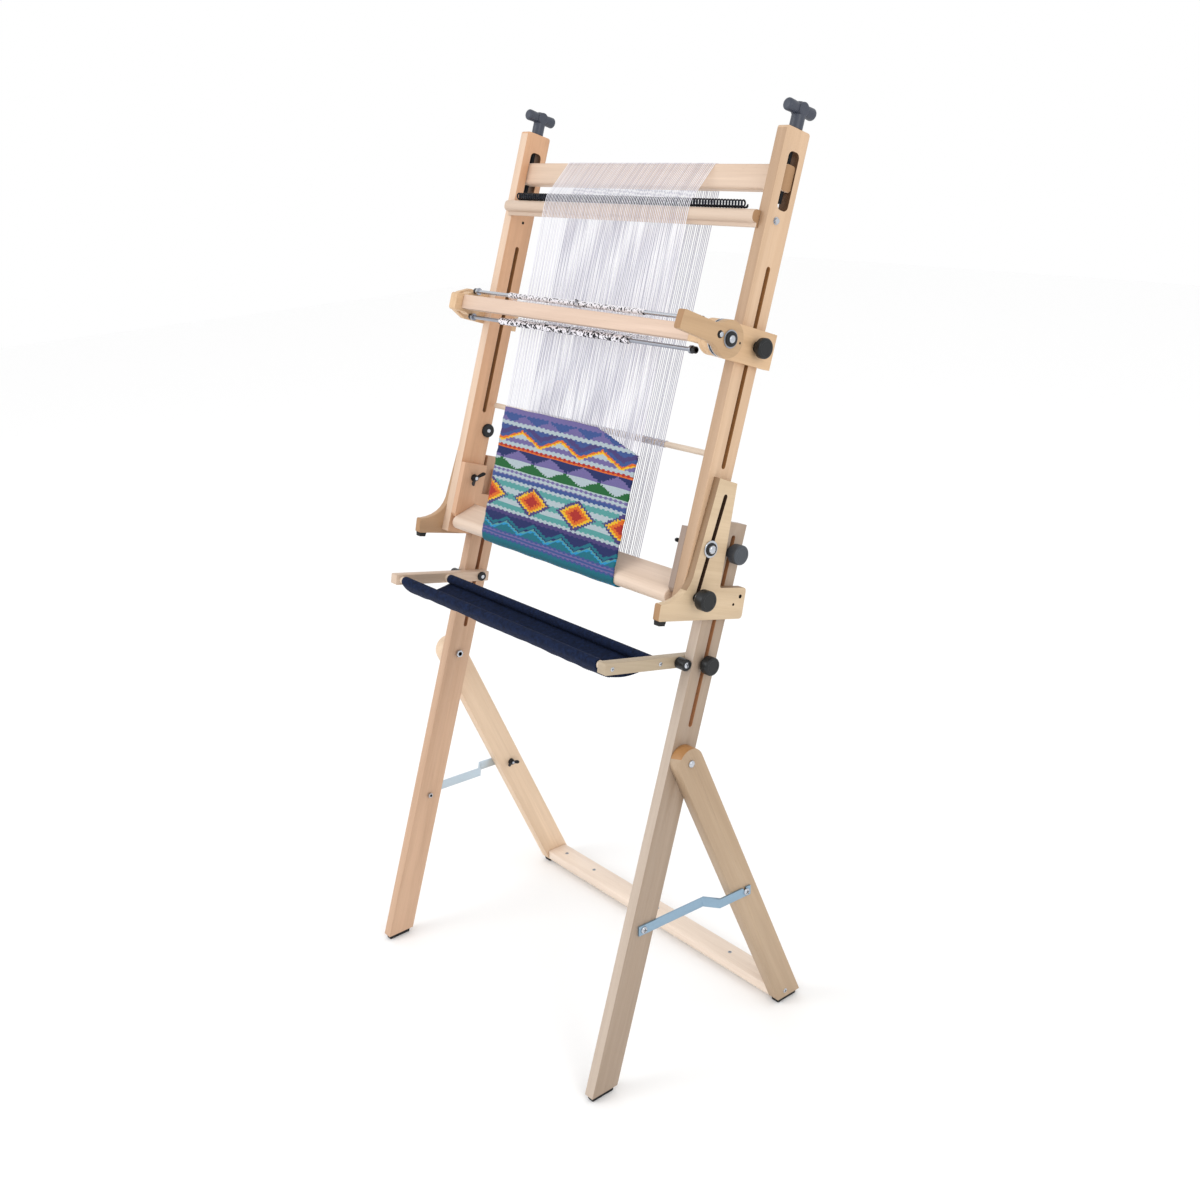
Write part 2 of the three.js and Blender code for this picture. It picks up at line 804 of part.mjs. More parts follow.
// A round knob on a face at x: bolt inwards to boltEnd, stem, then a head with rounded edges
function knob(size, x, boltEnd, boltDia, button) {
  const start = x + clearance;
  const headStart = start + size.stemLong;
  const end = headStart + size.headLong;
  const head = size.head / 2;
  const inside = button
    ? [
        [boltEnd - button.long, 0],
        [boltEnd - button.long, button.dia / 2 - 2],
        [boltEnd - button.long + 2, button.dia / 2],
        [boltEnd, button.dia / 2],
      ]
    : [[boltEnd, 0]];
  return turned(
    [
      ...inside,
      [boltEnd, boltDia / 2],
      [start, boltDia / 2],
      [start, size.stem / 2],
      [headStart, size.stem / 2],
      [headStart, head - 1.5],
      [headStart + 1.5, head],
      [end - 2, head],
      [end, head - 2],
      [end, 0],
    ],
    20,
  );
}

// The washered bolt through foot, upright and plate, with its wing nut inboard
function heightBolt() {
  const inner = plateInner;
  const outer = tableFootOuter + clearance;
  const shank = turned(
    [
      [inner - clearance - 8, 0],
      [inner - clearance - 8, 7],
      [inner - clearance, 7],
      [inner - clearance, smallBoltDia / 2],
      [outer, smallBoltDia / 2],
      [outer, washerDia / 2],
      [outer + 1.6, washerDia / 2],
      [outer + 1.6, 10.5],
      [outer + 3.6, 9.5],
      [outer + 3.6, 7],
      [outer + 5.4, 6],
      [outer + 6.6, 0],
    ],
    18,
  );
  return join(shank, wings(inner - clearance - 2, 13));
}

// The left foot's lower bolt: a low washered head where the right foot has its knob
function footBolt() {
  const outer = tableFootOuter + clearance;
  return turned([
    [innerFace + 2, 0],
    [innerFace + 2, smallBoltDia / 2],
    [outer, smallBoltDia / 2],
    [outer, 9],
    [outer + 1.5, 9],
    [outer + 1.5, 5.5],
    [outer + 4, 5],
    [outer + 5, 0],
  ]);
}

for (const [name, side] of sides) {
  piece("table_foot_" + name, onSide(tableFoot(), side), maple, tableFeet);
  piece("upright_" + name, onSide(upright(), side), maple, leaning);
  piece("beam_plate_" + name, onSide(beamPlate(), side), maple, leaning);

  if (side > 0) {
    const footKnobPiece = knob(footKnob, tableFootOuter, innerFace + 2, smallBoltDia);
    const footKnobMesh = piece("foot_knob_right", footKnobPiece, blackPlastic, leaning);
    footKnobMesh.position.set(0, knobPlace.n, knobPlace.s);
  } else {
    const footBoltMesh = piece("foot_bolt_left", onSide(footBolt(), side), steel, leaning);
    footBoltMesh.position.set(0, knobPlace.n, knobPlace.s);
  }

  const heightBoltMesh = piece("height_bolt_" + name, onSide(heightBolt(), side), steel, leaning);
  heightBoltMesh.position.set(0, boltPlace.n, boltPlace.s);

  const standKnobPiece = knob(standKnob, outerFace, plateInner - 3, bigBoltDia);
  const standKnobMesh = piece("stand_knob_" + name, onSide(standKnobPiece, side), blackPlastic, leaning);
  standKnobMesh.position.set(0, legSlotBack, standBoltUp);
}

// Bottom beam: a tilted board with a round nose and a back face along the uprights
const beamTilt = rad(bottomBeamTiltDeg);
const beamBack = bottomBeamDeep - noseRadius;
const beamBackLow = beamBack - 2 * noseRadius * Math.tan(beamTilt);
function bottomBeam() {
  const outline = [
    ...arc(0, 0, noseRadius, Math.PI / 2, 1.5 * Math.PI),
    at(beamBackLow, -noseRadius),
    at(beamBack, noseRadius),
  ];
  return board(outline, [], 2 * beamHalf, -beamHalf);
}
const bottomBeamMesh = piece("bottom_beam", bottomBeam(), maple, leaning);
bottomBeamMesh.position.set(0, noseN, noseS);
bottomBeamMesh.rotation.x = beamTilt;

// Top beam: a board through both windows, bored for the tension rods
const topBeamHalf = outerFace - topBeamEndGap;
function topBeam() {
  const outline = rectangle(
    uprightMid - topBeamDeep / 2,
    topBeamMid - topBeamHigh / 2,
    uprightMid + topBeamDeep / 2,
    topBeamMid + topBeamHigh / 2,
    topBeamRound,
  );
  const bores = sides.map(([, side]) => {
    const radius = (tensionRodDia + boltClear) / 2;
    const bore = new THREE.CylinderGeometry(radius, radius, topBeamHigh + 20, 14);
    return bore.rotateX(Math.PI / 2).translate(side * gaugeHalf, uprightMid, topBeamMid);
  });
  return cut(board(outline, [], 2 * topBeamHalf, -topBeamHalf), ...bores);
}
piece("top_beam", topBeam(), maple, leaning);

// Tension handles: black T-handles on the uprights' tops, with threaded rods down through the beam
function tensionHandle() {
  const base = uprightHigh + clearance;
  const barMid = base + tensionNeckHigh + tensionBarDia / 2;
  const profile = [
    [tensionRodLow, 0],
    [tensionRodLow, tensionRodDia / 2],
    [base, tensionRodDia / 2],
    [base, tensionNeckDia / 2],
    [barMid - tensionBarDia / 2 + 2, tensionNeckDia / 2],
    [barMid - tensionBarDia / 2 + 3, tensionLobeDia / 2],
    [barMid + tensionBarDia / 2 - 2, tensionLobeDia / 2],
    [barMid + tensionBarDia / 2 + 1, tensionLobeDia / 2 - 3],
    [barMid + tensionBarDia / 2 + 2, 0],
  ];
  const stem = turned(profile).rotateY(-Math.PI / 2);
  const half = tensionBarLong / 2;
  const radius = tensionBarDia / 2;
  const bar = turned([
    [-half, 0],
    [-half, radius - 2.5],
    [-half + 2.5, radius],
    [half - 2.5, radius],
    [half, radius - 2.5],
    [half, 0],
  ]);
  bar.rotateZ(Math.PI / 2).translate(0, 0, barMid);
  return join(stem, bar);
}
for (const [name, side] of sides) {
  const handle = piece("tension_handle_" + name, tensionHandle(), blackPlastic, leaning);
  handle.position.set(side * gaugeHalf, uprightMid, 0);
}

// Front bar: a half-round bar across the uprights' front edges, with a lip below at its back
const barBack = uprightFront - clearance;
const barHigher = barLow + barHigh;
const barNose = barBack - barDeep + barCorner;
function frontBar() {
  const outline = [
    at(barBack - barLipDeep, barLow),
    at(barBack - barLipDeep, barLow - barLipDrop),
    at(barBack, barLow - barLipDrop),
    at(barBack, barHigher),
    ...arc(barNose, barHigher - barCorner, barCorner, Math.PI / 2, Math.PI),
    ...arc(barNose, barLow + barCorner, barCorner, Math.PI, 1.5 * Math.PI),
  ];
  return board(outline, [], 2 * barHalf, -barHalf);
}
piece("front_bar", frontBar(), maple, leaning);

// Warp spring: one wire coiled along the bar's top, which spaces the warp threads
const springN = barBack - barDeep / 2;
const springReach = springRadius + springWire / 2;
const springS = barHigher + clearance + springReach;
function springPoints() {
  const perTurn = 8;
  const count = springTurns * perTurn;
  const points = [];
  const lead = springWire;
  for (let i = 0; i <= count; i++) {
    const turn = (2 * Math.PI * i) / perTurn;
    const x = -springHalf + lead + (2 * (springHalf - lead) * i) / count;
    points.push(new THREE.Vector3(x, springRadius * Math.cos(turn), springRadius * Math.sin(turn)));
  }
  const first = points[0].clone().setX(-springHalf);
  const last = points[count].clone().setX(springHalf);
  return [first, ...points, last];
}
const springRoute = springPoints();
let leastGap = Infinity;
for (let i = 0; i < springRoute.length; i++) {
  for (let j = i + 6; j < Math.min(i + 24, springRoute.length); j++) {
    leastGap = Math.min(leastGap, springRoute[i].distanceTo(springRoute[j]) - springWire);
  }
}
console.log("warp spring: least gap between turns " + leastGap.toFixed(2) + " mm");
const springMesh = piece("warp_spring", wire(springRoute, springWire / 2, 4), blackSteel, leaning);
springMesh.position.set(0, springN, springS);

// Shed brackets: boards outboard of the uprights, the right one with a round end, the left one narrower
function shedBracket(side) {
  const half = bracketHigh / 2;
  const back = side > 0 ? bracketBackRight : bracketBackLeft;
  const wide = arc(pivotN, shedUp, half, Math.PI / 2, 1.5 * Math.PI);
  const narrow = [
    at(pivotN + half - bracketNoseLeft + 3, shedUp + half),
    ...arc(pivotN, shedUp, bracketNoseLeft, 0.62 * Math.PI, 1.38 * Math.PI),
    at(pivotN + half - bracketNoseLeft + 3, shedUp - half),
  ];
  const outline = [
    ...(side > 0 ? wide : narrow),
    at(-uprightGap + back, shedUp - half),
    at(-uprightGap + back, shedUp + half),
  ];
  const holes = [
    holeAt(pivotN, shedUp, bigBoltDia + boltClear),
    holeAt(uprightMid, shedUp + clampRise, bigBoltDia + boltClear),
  ];
  return board(outline, holes, bracketThick, bracketInner);
}

// Shed arms: on the left a disc with a nose past the heddle bar, on the right a block with a disc
function shedArmRight() {
  const half = armEndHigh / 2;
  const outline = [
    ...arc(0, 0, half, -Math.PI / 2, Math.PI / 2),
    ...arc(-heddleBarFront + 2, half - 2, 2, Math.PI / 2, Math.PI),
    ...arc(-heddleBarFront + 2, -half + 2, 2, Math.PI, 1.5 * Math.PI),
  ];
  const hole = holeAt(0, 0, bigBoltDia + boltClear);
  const long = bracketInner - clearance - shedArmInner;
  const block = board(outline, [hole], long, shedArmInner);
  const rim = arc(0, 0, armDiscRadius, 0, 2 * Math.PI).slice(0, -1);
  const disc = board(rim, [hole], armDiscThick, shedArmInner + long - armDiscThick);
  return join(block, disc);
}

function shedArmLeft() {
  const noseTop = armNoseHigh / 2 - armNoseDrop;
  const noseLow = noseTop - armNoseHigh;
  const topTurn = Math.PI - Math.asin(noseTop / armRadius);
  const lowTurn = Math.PI + Math.asin(-noseLow / armRadius);
  const outline = [
    ...arc(0, 0, armRadius, lowTurn, topTurn + 2 * Math.PI),
    ...arc(-armNoseOut + 5, noseTop - 5, 5, Math.PI / 2, Math.PI),
    ...arc(-armNoseOut + 5, noseLow + 5, 5, Math.PI, 1.5 * Math.PI),
  ];
  return board(outline, [holeAt(0, 0, bigBoltDia + boltClear)], armThick, shedArmInner);
}

// Shed handle: a flat lever outboard of the right bracket, round about the pivot
function shedHandle() {
  const half = handleHigh / 2;
  const meet = Math.asin((half + 4) / handleRadius);
  const outline = [
    ...arc(0, 0, handleRadius, Math.PI + meet, 3 * Math.PI - meet),
    at(-handleRadius - 8, half),
    ...arc(-handleLong + 4, half - 4, 4, Math.PI / 2, Math.PI),
    ...arc(-handleLong + 4, -half + 4, 4, Math.PI, 1.5 * Math.PI),
    at(-handleRadius - 8, -half),
  ];
  return board(outline, [holeAt(0, 0, bigBoltDia + boltClear)], handleThick, handleInner);
}

// Shed pivots: a washered bolt through the pieces on the pivot; discs part the handle from its bracket
function shedPivot(side) {
  const outer = side > 0 ? handleOuter : bracketOuter;
  const spacerIn = shedArmOuter + clearance;
  const spacerOut = bracketInner - clearance;
  const spacer = [
    [spacerIn, bigBoltDia / 2],
    [spacerIn, spacerRadius],
    [spacerOut, spacerRadius],
    [spacerOut, bigBoltDia / 2],
  ];
  const discIn = bracketOuter + clearance;
  const discOut = handleInner - clearance;
  const discs = [
    [discIn, bigBoltDia / 2],
    [discIn, discRadius],
    [discIn + 1.6, discRadius],
    [discIn + 1.6, discRadius - 3],
    [discOut - 1.6, discRadius - 3],
    [discOut - 1.6, discRadius],
    [discOut, discRadius],
    [discOut, bigBoltDia / 2],
  ];
  return turned(
    [
      [shedArmInner + 2, 0],
      [shedArmInner + 2, bigBoltDia / 2],
      ...(side > 0 ? discs : spacer),
      [outer + clearance, bigBoltDia / 2],
      [outer + clearance, washerDia / 2],
      [outer + clearance + 1.6, washerDia / 2],
      [outer + clearance + 1.6, 8.5],
      [outer + clearance + 4, 8],
      [outer + clearance + 5.6, 0],
    ],
    20,
  );
}

const shedFrame = new THREE.Group();
shedFrame.position.set(0, pivotN, shedUp);
leaning.add(shedFrame);
for (const [name, side] of sides) {
  piece("shed_bracket_" + name, onSide(shedBracket(side), side), maple, leaning);
  const armShape = side > 0 ? shedArmRight() : shedArmLeft();
  piece("shed_arm_" + name, onSide(armShape, side), maple, shedFrame);
  piece("shed_pivot_" + name, onSide(shedPivot(side), side), steel, shedFrame);
  const shedKnobPiece = knob(shedKnob, bracketOuter, innerFace - 2, bigBoltDia);
  const shedKnobMesh = piece("shed_knob_" + name, onSide(shedKnobPiece, side), blackPlastic, leaning);
  shedKnobMesh.position.set(0, uprightMid, shedUp + clampRise);
}
const handleMesh = piece("shed_handle", shedHandle(), maple, shedFrame);
handleMesh.rotation.x = -rad(handleTiltDeg);

// Heddle bar: a flat bar between the arms' noses
const heddleBarHalf = shedArmInner - clearance;
const heddleBarOutline = rectangle(
  -heddleBarFront,
  -heddleBarHigh / 2,
  -heddleBarFront + heddleBarDeep,
  heddleBarHigh / 2,
  1.5,
);
piece("heddle_bar", board(heddleBarOutline, [], 2 * heddleBarHalf, -heddleBarHalf), maple, shedFrame);

// Heddle rods: steel rods with end collars and caps, and the band of string heddles between
function heddleRod() {
  const half = heddleBarHalf;
  const radii = [
    [-half, rodCapDia],
    [-half + rodCapLong, rodCapDia],
    [-half + rodCapLong, rodCollarDia],
    [-half + rodCapLong + rodCollarLong, rodCollarDia],
    [-half + rodCapLong + rodCollarLong, rodDia],
    [warpLeft, rodDia],
    [warpLeft, heddleDia],
    [warpRight, heddleDia],
    [warpRight, rodDia],
    [half - rodCapLong - rodCollarLong, rodDia],
    [half - rodCapLong - rodCollarLong, rodCollarDia],
    [half - rodCapLong, rodCollarDia],
    [half - rodCapLong, rodCapDia],
    [half, rodCapDia],
  ];
  return turned([[-half, 0], ...radii.map(([x, dia]) => [x, dia / 2]), [half, 0]], 12);
}
for (const [name, up] of [["upper", rodOffset], ["lower", -rodOffset]]) {
  const rodMesh = piece("heddle_rod_" + name, heddleRod(), steel, shedFrame);
  rodMesh.position.z = up;
}

// Warp and weaving: routes in (n, s) round the beams, the bar, the spring and the nose
const sheetRise = clearance + warpThick / 2;
const weavingRise = clearance + clothThick / 2;
const corner = (n, s, round, rise) => ({ n, s, r: round + rise });
const beamTopS = topBeamMid + topBeamHigh / 2;
const beamFrontN = uprightMid - topBeamDeep / 2;
const beamBackN = uprightMid + topBeamDeep / 2;
const beamFrontCorner = corner(beamFrontN + topBeamRound, beamTopS - topBeamRound, topBeamRound, sheetRise);
const beamBackCorner = corner(beamBackN - topBeamRound, beamTopS - topBeamRound, topBeamRound, sheetRise);
const beamLowCorner = { ...beamBackCorner, s: topBeamMid - topBeamHigh / 2 + topBeamRound };
const overSpring = corner(springN, springS, springReach, sheetRise);
const barTopCorner = corner(barNose, barHigher - barCorner, barCorner, sheetRise);
const barLowCorner = corner(barNose, barLow + barCorner, barCorner, sheetRise);
const nose = corner(noseN, noseS, noseRadius, weavingRise);

// A point of the bottom beam's own frame in the leaning frame
function leaningFromBeam(a, b) {
  return {
    n: noseN + a * Math.cos(beamTilt) - b * Math.sin(beamTilt),
    s: noseS + a * Math.sin(beamTilt) + b * Math.cos(beamTilt),
  };
}
const underBeam = -Math.PI / 2 + beamTilt;
const meetUnder = beamBackLow / 2;

// The taut line from the bar's lower corner to the nose, where the weaving begins at a height
function onTautLine(s) {
  const points = belt([barLowCorner, nose], Math.PI, Math.PI + 0.5);
  const from = points[points.findIndex((point) => point.y < barLow + barCorner - 30) - 1];
  const to = points[points.findIndex((point) => point.y < barLow + barCorner - 30)];
  const share = (s - from.y) / (to.y - from.y);
  return at(from.x + share * (to.x - from.x), s);
}

// The front layer: from the beam's top, over the spring and the bar, down to the weaving
function warpFrontRoute(bottom) {
  const route = belt([beamFrontCorner, overSpring, barTopCorner, barLowCorner, nose], Math.PI / 2, Math.PI + 0.5);
  const above = route.filter((point) => point.y > barLow);
  return [at(uprightMid, beamTopS + sheetRise), ...above, onTautLine(bottom)];
}

// The back layer: from the beam's top, down to the bottom beam's back and under it
function warpBackRoute() {
  const high = leaningFromBeam(beamBack, noseRadius);
  const low = leaningFromBeam(beamBackLow, -noseRadius);
  const under = leaningFromBeam(meetUnder + 2, -noseRadius);
  const circles = [
    beamBackCorner,
    beamLowCorner,
    { ...high, r: sheetRise },
    { ...low, r: sheetRise },
    { ...under, r: sheetRise },
  ];
  return [at(uprightMid + 1, beamTopS + sheetRise), ...belt(circles, Math.PI / 2, underBeam)];
}

// The weaving: down to the nose, round it and back under the beam
function weavingRoute(top) {
  const under = leaningFromBeam(meetUnder - 2, -noseRadius);
  const route = belt([barLowCorner, nose, { ...under, r: weavingRise }], Math.PI, underBeam + 2 * Math.PI);
  return [onTautLine(top), ...route.filter((point) => point.y < barLow - 30)];
}

// The weaving's top edge runs level from the left, then slants down to the right
const columns = 8;
const warpColumns = [];
for (let column = 0; column <= columns; column++) {
  warpColumns.push(warpLeft + (column * (warpRight - warpLeft)) / columns);
}
function weavingTopAt(x) {
  const share = THREE.MathUtils.clamp((x - weavingStepAt) / (warpRight - weavingStepAt), 0, 1);
  return weavingTop - share * (weavingTop - weavingStepTop);
}
const frontRoutes = warpColumns.map((x) => warpFrontRoute(weavingTopAt(x) + clearance));
const weavingRoutes = warpColumns.map((x) => weavingRoute(weavingTopAt(x)));
const backRoutes = [warpBackRoute(), warpBackRoute()];
piece("warp_front", sheetOver(warpColumns, frontRoutes, warpThick), cotton, leaning);
piece("warp_back", sheetOver([warpLeft, warpRight], backRoutes, warpThick), cotton, leaning);
piece("tapestry", sheetOver(warpColumns, weavingRoutes, clothThick), weaving, leaning);

// Turn-around rod: a dowel behind the back layer, which its loops hold up
const backTop = at(beamBackN + sheetRise, beamLowCorner.s);
const backLow = at(leaningFromBeam(beamBack, noseRadius).n + sheetRise, leaningFromBeam(beamBack, noseRadius).s);
const backShare = (backTop.y - turnRodUp) / (backTop.y - backLow.y);
const backAtRod = backTop.x + backShare * (backLow.x - backTop.x);
const turnRodN = backAtRod + warpThick / 2 + clearance + turnRodDia / 2;
const turnRodMesh = piece("turnaround_rod", rod(-turnRodHalf, 2 * turnRodHalf, turnRodDia), maple, leaning);
turnRodMesh.position.set(turnRodShift, turnRodN, turnRodUp);

// Trough: two arms, two dowels and a cloth sling, hung on knobs through the legs' slots
const trough = new THREE.Group();
trough.position.set(0, legSlotBack, troughUp);
trough.rotation.x = rad(troughTiltDeg);
leaning.add(trough);
const pegY = -(legSlotBack + peg.dia / 2 + clearance) / Math.cos(rad(troughTiltDeg));

function troughArm() {
  const outline = rectangle(-armAhead, -armHigh / 2, troughArmLong - armAhead, armHigh / 2, 2);
  const holes = [holeAt(0, 0, bigBoltDia + boltClear)];
  return board(outline, holes, troughArmThick, troughArmInner);
}

function pegSolid() {
  const radius = peg.dia / 2;
  const start = troughArmOuter + clearance;
  return turned([
    [start, 0],
    [start, radius],
    [start + peg.long - 1.5, radius],
    [start + peg.long, radius - 1.5],
    [start + peg.long, 0],
  ]);
}

for (const [name, side] of sides) {
  piece("trough_arm_" + name, onSide(troughArm(), side), maple, trough);
  const pegMesh = piece("trough_peg_" + name, onSide(pegSolid(), side), rubber, trough);
  pegMesh.position.y = pegY;
  const button = { dia: 17, long: 4 };
  const troughKnobPiece = knob(troughKnob, outerFace, troughArmInner - clearance, bigBoltDia, button);
  const knobMesh = piece("trough_knob_" + name, onSide(troughKnobPiece, side), blackPlastic, leaning);
  knobMesh.position.set(0, legSlotBack, troughUp);
}
const dowelHalf = troughArmInner - clearance;
for (const [name, ahead] of [["front", frontDowelAhead], ["rear", rearDowelAhead]]) {
  const dowel = piece("trough_dowel_" + name, rod(-dowelHalf, 2 * dowelHalf, dowelDia), maple, trough);
  dowel.position.y = -ahead;
}

// Sling: cloth round both dowels that sags between them, with soft folds along its length
const slingWrap = dowelDia / 2 + clearance + slingThick / 2;
const slingFrontLeave = rad(216.9);
const slingRearMeet = rad(-65);
function slingRoute(u) {
  const front = -frontDowelAhead;
  const rear = -rearDowelAhead;
  const start = at(front + slingWrap * Math.cos(slingFrontLeave), slingWrap * Math.sin(slingFrontLeave));
  const end = at(rear + slingWrap * Math.cos(slingRearMeet), slingWrap * Math.sin(slingRearMeet));
  const hang = new THREE.CubicBezierCurve(
    start,
    at(front + 16, -slingSag - 8.6),
    at(front + 58, -slingSag - 0.2),
    end,
  );
  const hanging = hang.getPoints(14).slice(1, -1).map((point, i) => {
    const slack = Math.sin((Math.PI * (i + 1)) / 14) ** 2;
    const folds = 0.9 * Math.sin(5 * Math.PI * u + i / 4) + 0.5 * Math.sin(11 * Math.PI * u + 1);
    return at(point.x, point.y - slack * folds);
  });
  return [
    ...arc(front, 0, slingWrap, 0.2 * Math.PI, slingFrontLeave),
    ...hanging,
    ...arc(rear, 0, slingWrap, slingRearMeet, 1.1 * Math.PI),
  ];
}
const slingColumns = [];
const slingRoutes = [];
for (let column = 0; column <= 12; column++) {
  const u = column / 12;
  slingColumns.push(slingShift + slingHalf * (2 * u - 1));
  slingRoutes.push(slingRoute(u));
}
piece("trough_sling", sheetOver(slingColumns, slingRoutes, slingThick), denim, trough);

// The frame's origin: the middle of the loom's outline on the floor
floor.updateMatrixWorld(true);
const reach = new THREE.Box3().setFromObject(floor);
floor.position.set(-(reach.min.x + reach.max.x) / 2, -(reach.min.y + reach.max.y) / 2, 0);

export default loom;
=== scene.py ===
import math
import random

import bmesh
import bpy
from mathutils import Matrix, Vector


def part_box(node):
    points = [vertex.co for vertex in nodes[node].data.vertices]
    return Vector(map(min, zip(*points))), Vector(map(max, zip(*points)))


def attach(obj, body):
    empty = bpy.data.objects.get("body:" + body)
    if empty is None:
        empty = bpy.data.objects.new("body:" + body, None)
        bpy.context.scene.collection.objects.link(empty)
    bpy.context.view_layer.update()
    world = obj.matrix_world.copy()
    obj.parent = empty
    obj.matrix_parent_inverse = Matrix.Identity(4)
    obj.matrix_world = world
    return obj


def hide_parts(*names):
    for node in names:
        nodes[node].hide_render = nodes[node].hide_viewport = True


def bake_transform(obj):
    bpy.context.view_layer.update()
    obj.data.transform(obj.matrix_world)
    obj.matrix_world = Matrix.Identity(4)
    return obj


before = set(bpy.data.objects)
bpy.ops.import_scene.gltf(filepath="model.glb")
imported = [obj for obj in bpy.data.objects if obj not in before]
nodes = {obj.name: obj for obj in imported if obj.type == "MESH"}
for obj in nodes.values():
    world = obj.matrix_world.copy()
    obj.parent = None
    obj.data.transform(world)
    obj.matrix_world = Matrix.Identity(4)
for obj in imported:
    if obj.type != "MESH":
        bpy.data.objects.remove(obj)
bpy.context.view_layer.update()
random.seed(11)

# The photograph's camera and a pale studio. The loom was measured from the front corner of its
# right leg, so the camera is placed from there too.
LEG_OUTER = 0.3195
leg_low, leg_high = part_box("front_leg_right")
CORNER = Vector((leg_high[0] - LEG_OUTER, leg_low[1], 0))
camera_data = bpy.data.cameras.new("photo_camera")
camera_data.sensor_width = 36
camera_data.lens = 40.97
camera_data.clip_end = 50
camera = bpy.data.objects.new("photo_camera", camera_data)
yaw, pitch_down, roll = math.radians(51.5), math.radians(19.86), math.radians(-2.64)
level = math.cos(pitch_down)
ahead = Vector((-math.sin(yaw) * level, math.cos(yaw) * level, -math.sin(pitch_down)))
right = Vector((math.cos(yaw), math.sin(yaw), 0))
up = right.cross(ahead)
tilted_right = right * math.cos(roll) + up * math.sin(roll)
tilted_up = up * math.cos(roll) - right * math.sin(roll)
axes = Matrix((tilted_right, tilted_up, -ahead)).transposed()
camera.matrix_world = Matrix.Translation(Vector((1.74086, -1.06795, 1.49627)) + CORNER) @ axes.to_4x4()
bpy.context.scene.collection.objects.link(camera)
bpy.context.scene.camera = camera
bpy.context.scene.view_settings.view_transform = "Standard"

world = bpy.data.worlds.new("studio")
world.use_nodes = True
world.node_tree.nodes["Background"].inputs["Color"].default_value = (1, 1, 1, 1)
world.node_tree.nodes["Background"].inputs["Strength"].default_value = 1.0
bpy.context.scene.world = world


def soft_lamp(name, at, size, power, colour):
    """A round area lamp that looks at the loom's middle."""
    data = bpy.data.lights.new(name, "AREA")
    data.shape = "DISK"
    data.size = size
    data.energy = power
    data.color = colour
    lamp = bpy.data.objects.new(name, data)
    lamp.location = at
    lamp.rotation_euler = (Vector((0, 0, 0.8)) - Vector(at)).to_track_quat("-Z", "Y").to_euler()
    bpy.context.scene.collection.objects.link(lamp)


soft_lamp("key", (-1.4, -3.2, 2.6), 2.2, 36, (0.94, 0.97, 1))
soft_lamp("side", (3.2, -0.6, 2.2), 1.4, 18, (1, 0.98, 0.94))


def tone(code):
    """A linear colour from a six-digit screen colour."""
    channels = [int(code[i : i + 2], 16) / 255 for i in (0, 2, 4)]
    linear = [c / 12.92 if c <= 0.04045 else ((c + 0.055) / 1.055) ** 2.4 for c in channels]
    return (*linear, 1)


def material(name, colour, roughness, metallic=0.0, **sockets):
    made = bpy.data.materials.new(name)
    made.use_nodes = True
    shader = made.node_tree.nodes["Principled BSDF"]
    shader.inputs["Base Color"].default_value = tone(colour)
    shader.inputs["Roughness"].default_value = roughness
    shader.inputs["Metallic"].default_value = metallic
    for key, value in sockets.items():
        shader.inputs[key.replace("_", " ").title().replace("Ior", "IOR")].default_value = value
    made.diffuse_color = tone(colour)
    return made


def turn_over(shape):
    """Make a right-hand piece a left-hand one."""
    bmesh.ops.scale(shape, vec=(-1, 1, 1), verts=shape.verts)
    bmesh.ops.reverse_faces(shape, faces=shape.faces)


def finished(name, shape, place, looks, body, replaced=None, side=None, smooth=35):
    """A piece from a bmesh, with its place, looks and body, and the CAD node that it stands for.

    A piece of one side has that side in both names, and is turned over for the left.
    """
    if side:
        name = name + "_" + side
        replaced = replaced and replaced + "_" + side
    if side == "left":
        turn_over(shape)
    bmesh.ops.transform(shape, matrix=place, verts=shape.verts)
    mesh = bpy.data.meshes.new(name)
    shape.to_mesh(mesh)
    shape.free()
    for look in looks:
        mesh.materials.append(look)
    mesh.polygons.foreach_set("use_smooth", [smooth > 0] * len(mesh.polygons))
    mesh.update()
    if 0 < smooth < 180:
        mesh.set_sharp_from_angle(angle=math.radians(smooth))
    piece = bpy.data.objects.new(name, mesh)
    bpy.context.scene.collection.objects.link(piece)
    if body:
        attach(piece, body)
    if replaced:
        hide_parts(replaced)
    return piece


floor_shape = bmesh.new()
bmesh.ops.create_grid(floor_shape, x_segments=1, y_segments=1, size=9)
floor_place = Matrix.Translation((0, 0, -0.0005))
pale_floor = material("pale_floor", "fdfdfd", 0.95)
floor = finished("floor", floor_shape, floor_place, [pale_floor], None, smooth=0)

# Front legs: two long maple boards that lean back, with a slot that a knob slides in. The slots
# are routed, and their walls are painted dark brown: painted shade in the recess. Lengths are
# millimetres in the leaning frame: n goes back from the legs' front edges and s goes up along them.
MM = Matrix.Scale(0.001, 4)
LEAN = math.radians(19.1)


def turn_x(angle):
    return Matrix.Rotation(angle, 4, "X")


def move(x, y, z):
    return Matrix.Translation((x, y, z))


STANDING = Matrix.Translation(CORNER) @ MM
LEANING = STANDING @ move(0, 0, 8.3) @ turn_x(-LEAN)
SIDES = ("left", "right")


def node_in(tree, kind, **settings):
    """A shader node in a tree, with its inputs set by name."""
    node = tree.nodes.new("ShaderNode" + kind)
    for key, value in settings.items():
        node.inputs[key.replace("_", " ")].default_value = value
    return node


def join(tree, *links):
    """Link shader nodes: each link is a node and its output, then a node and its input."""
    for source, output, target, entry in links:
        tree.links.new(source.outputs[output], target.inputs[entry])


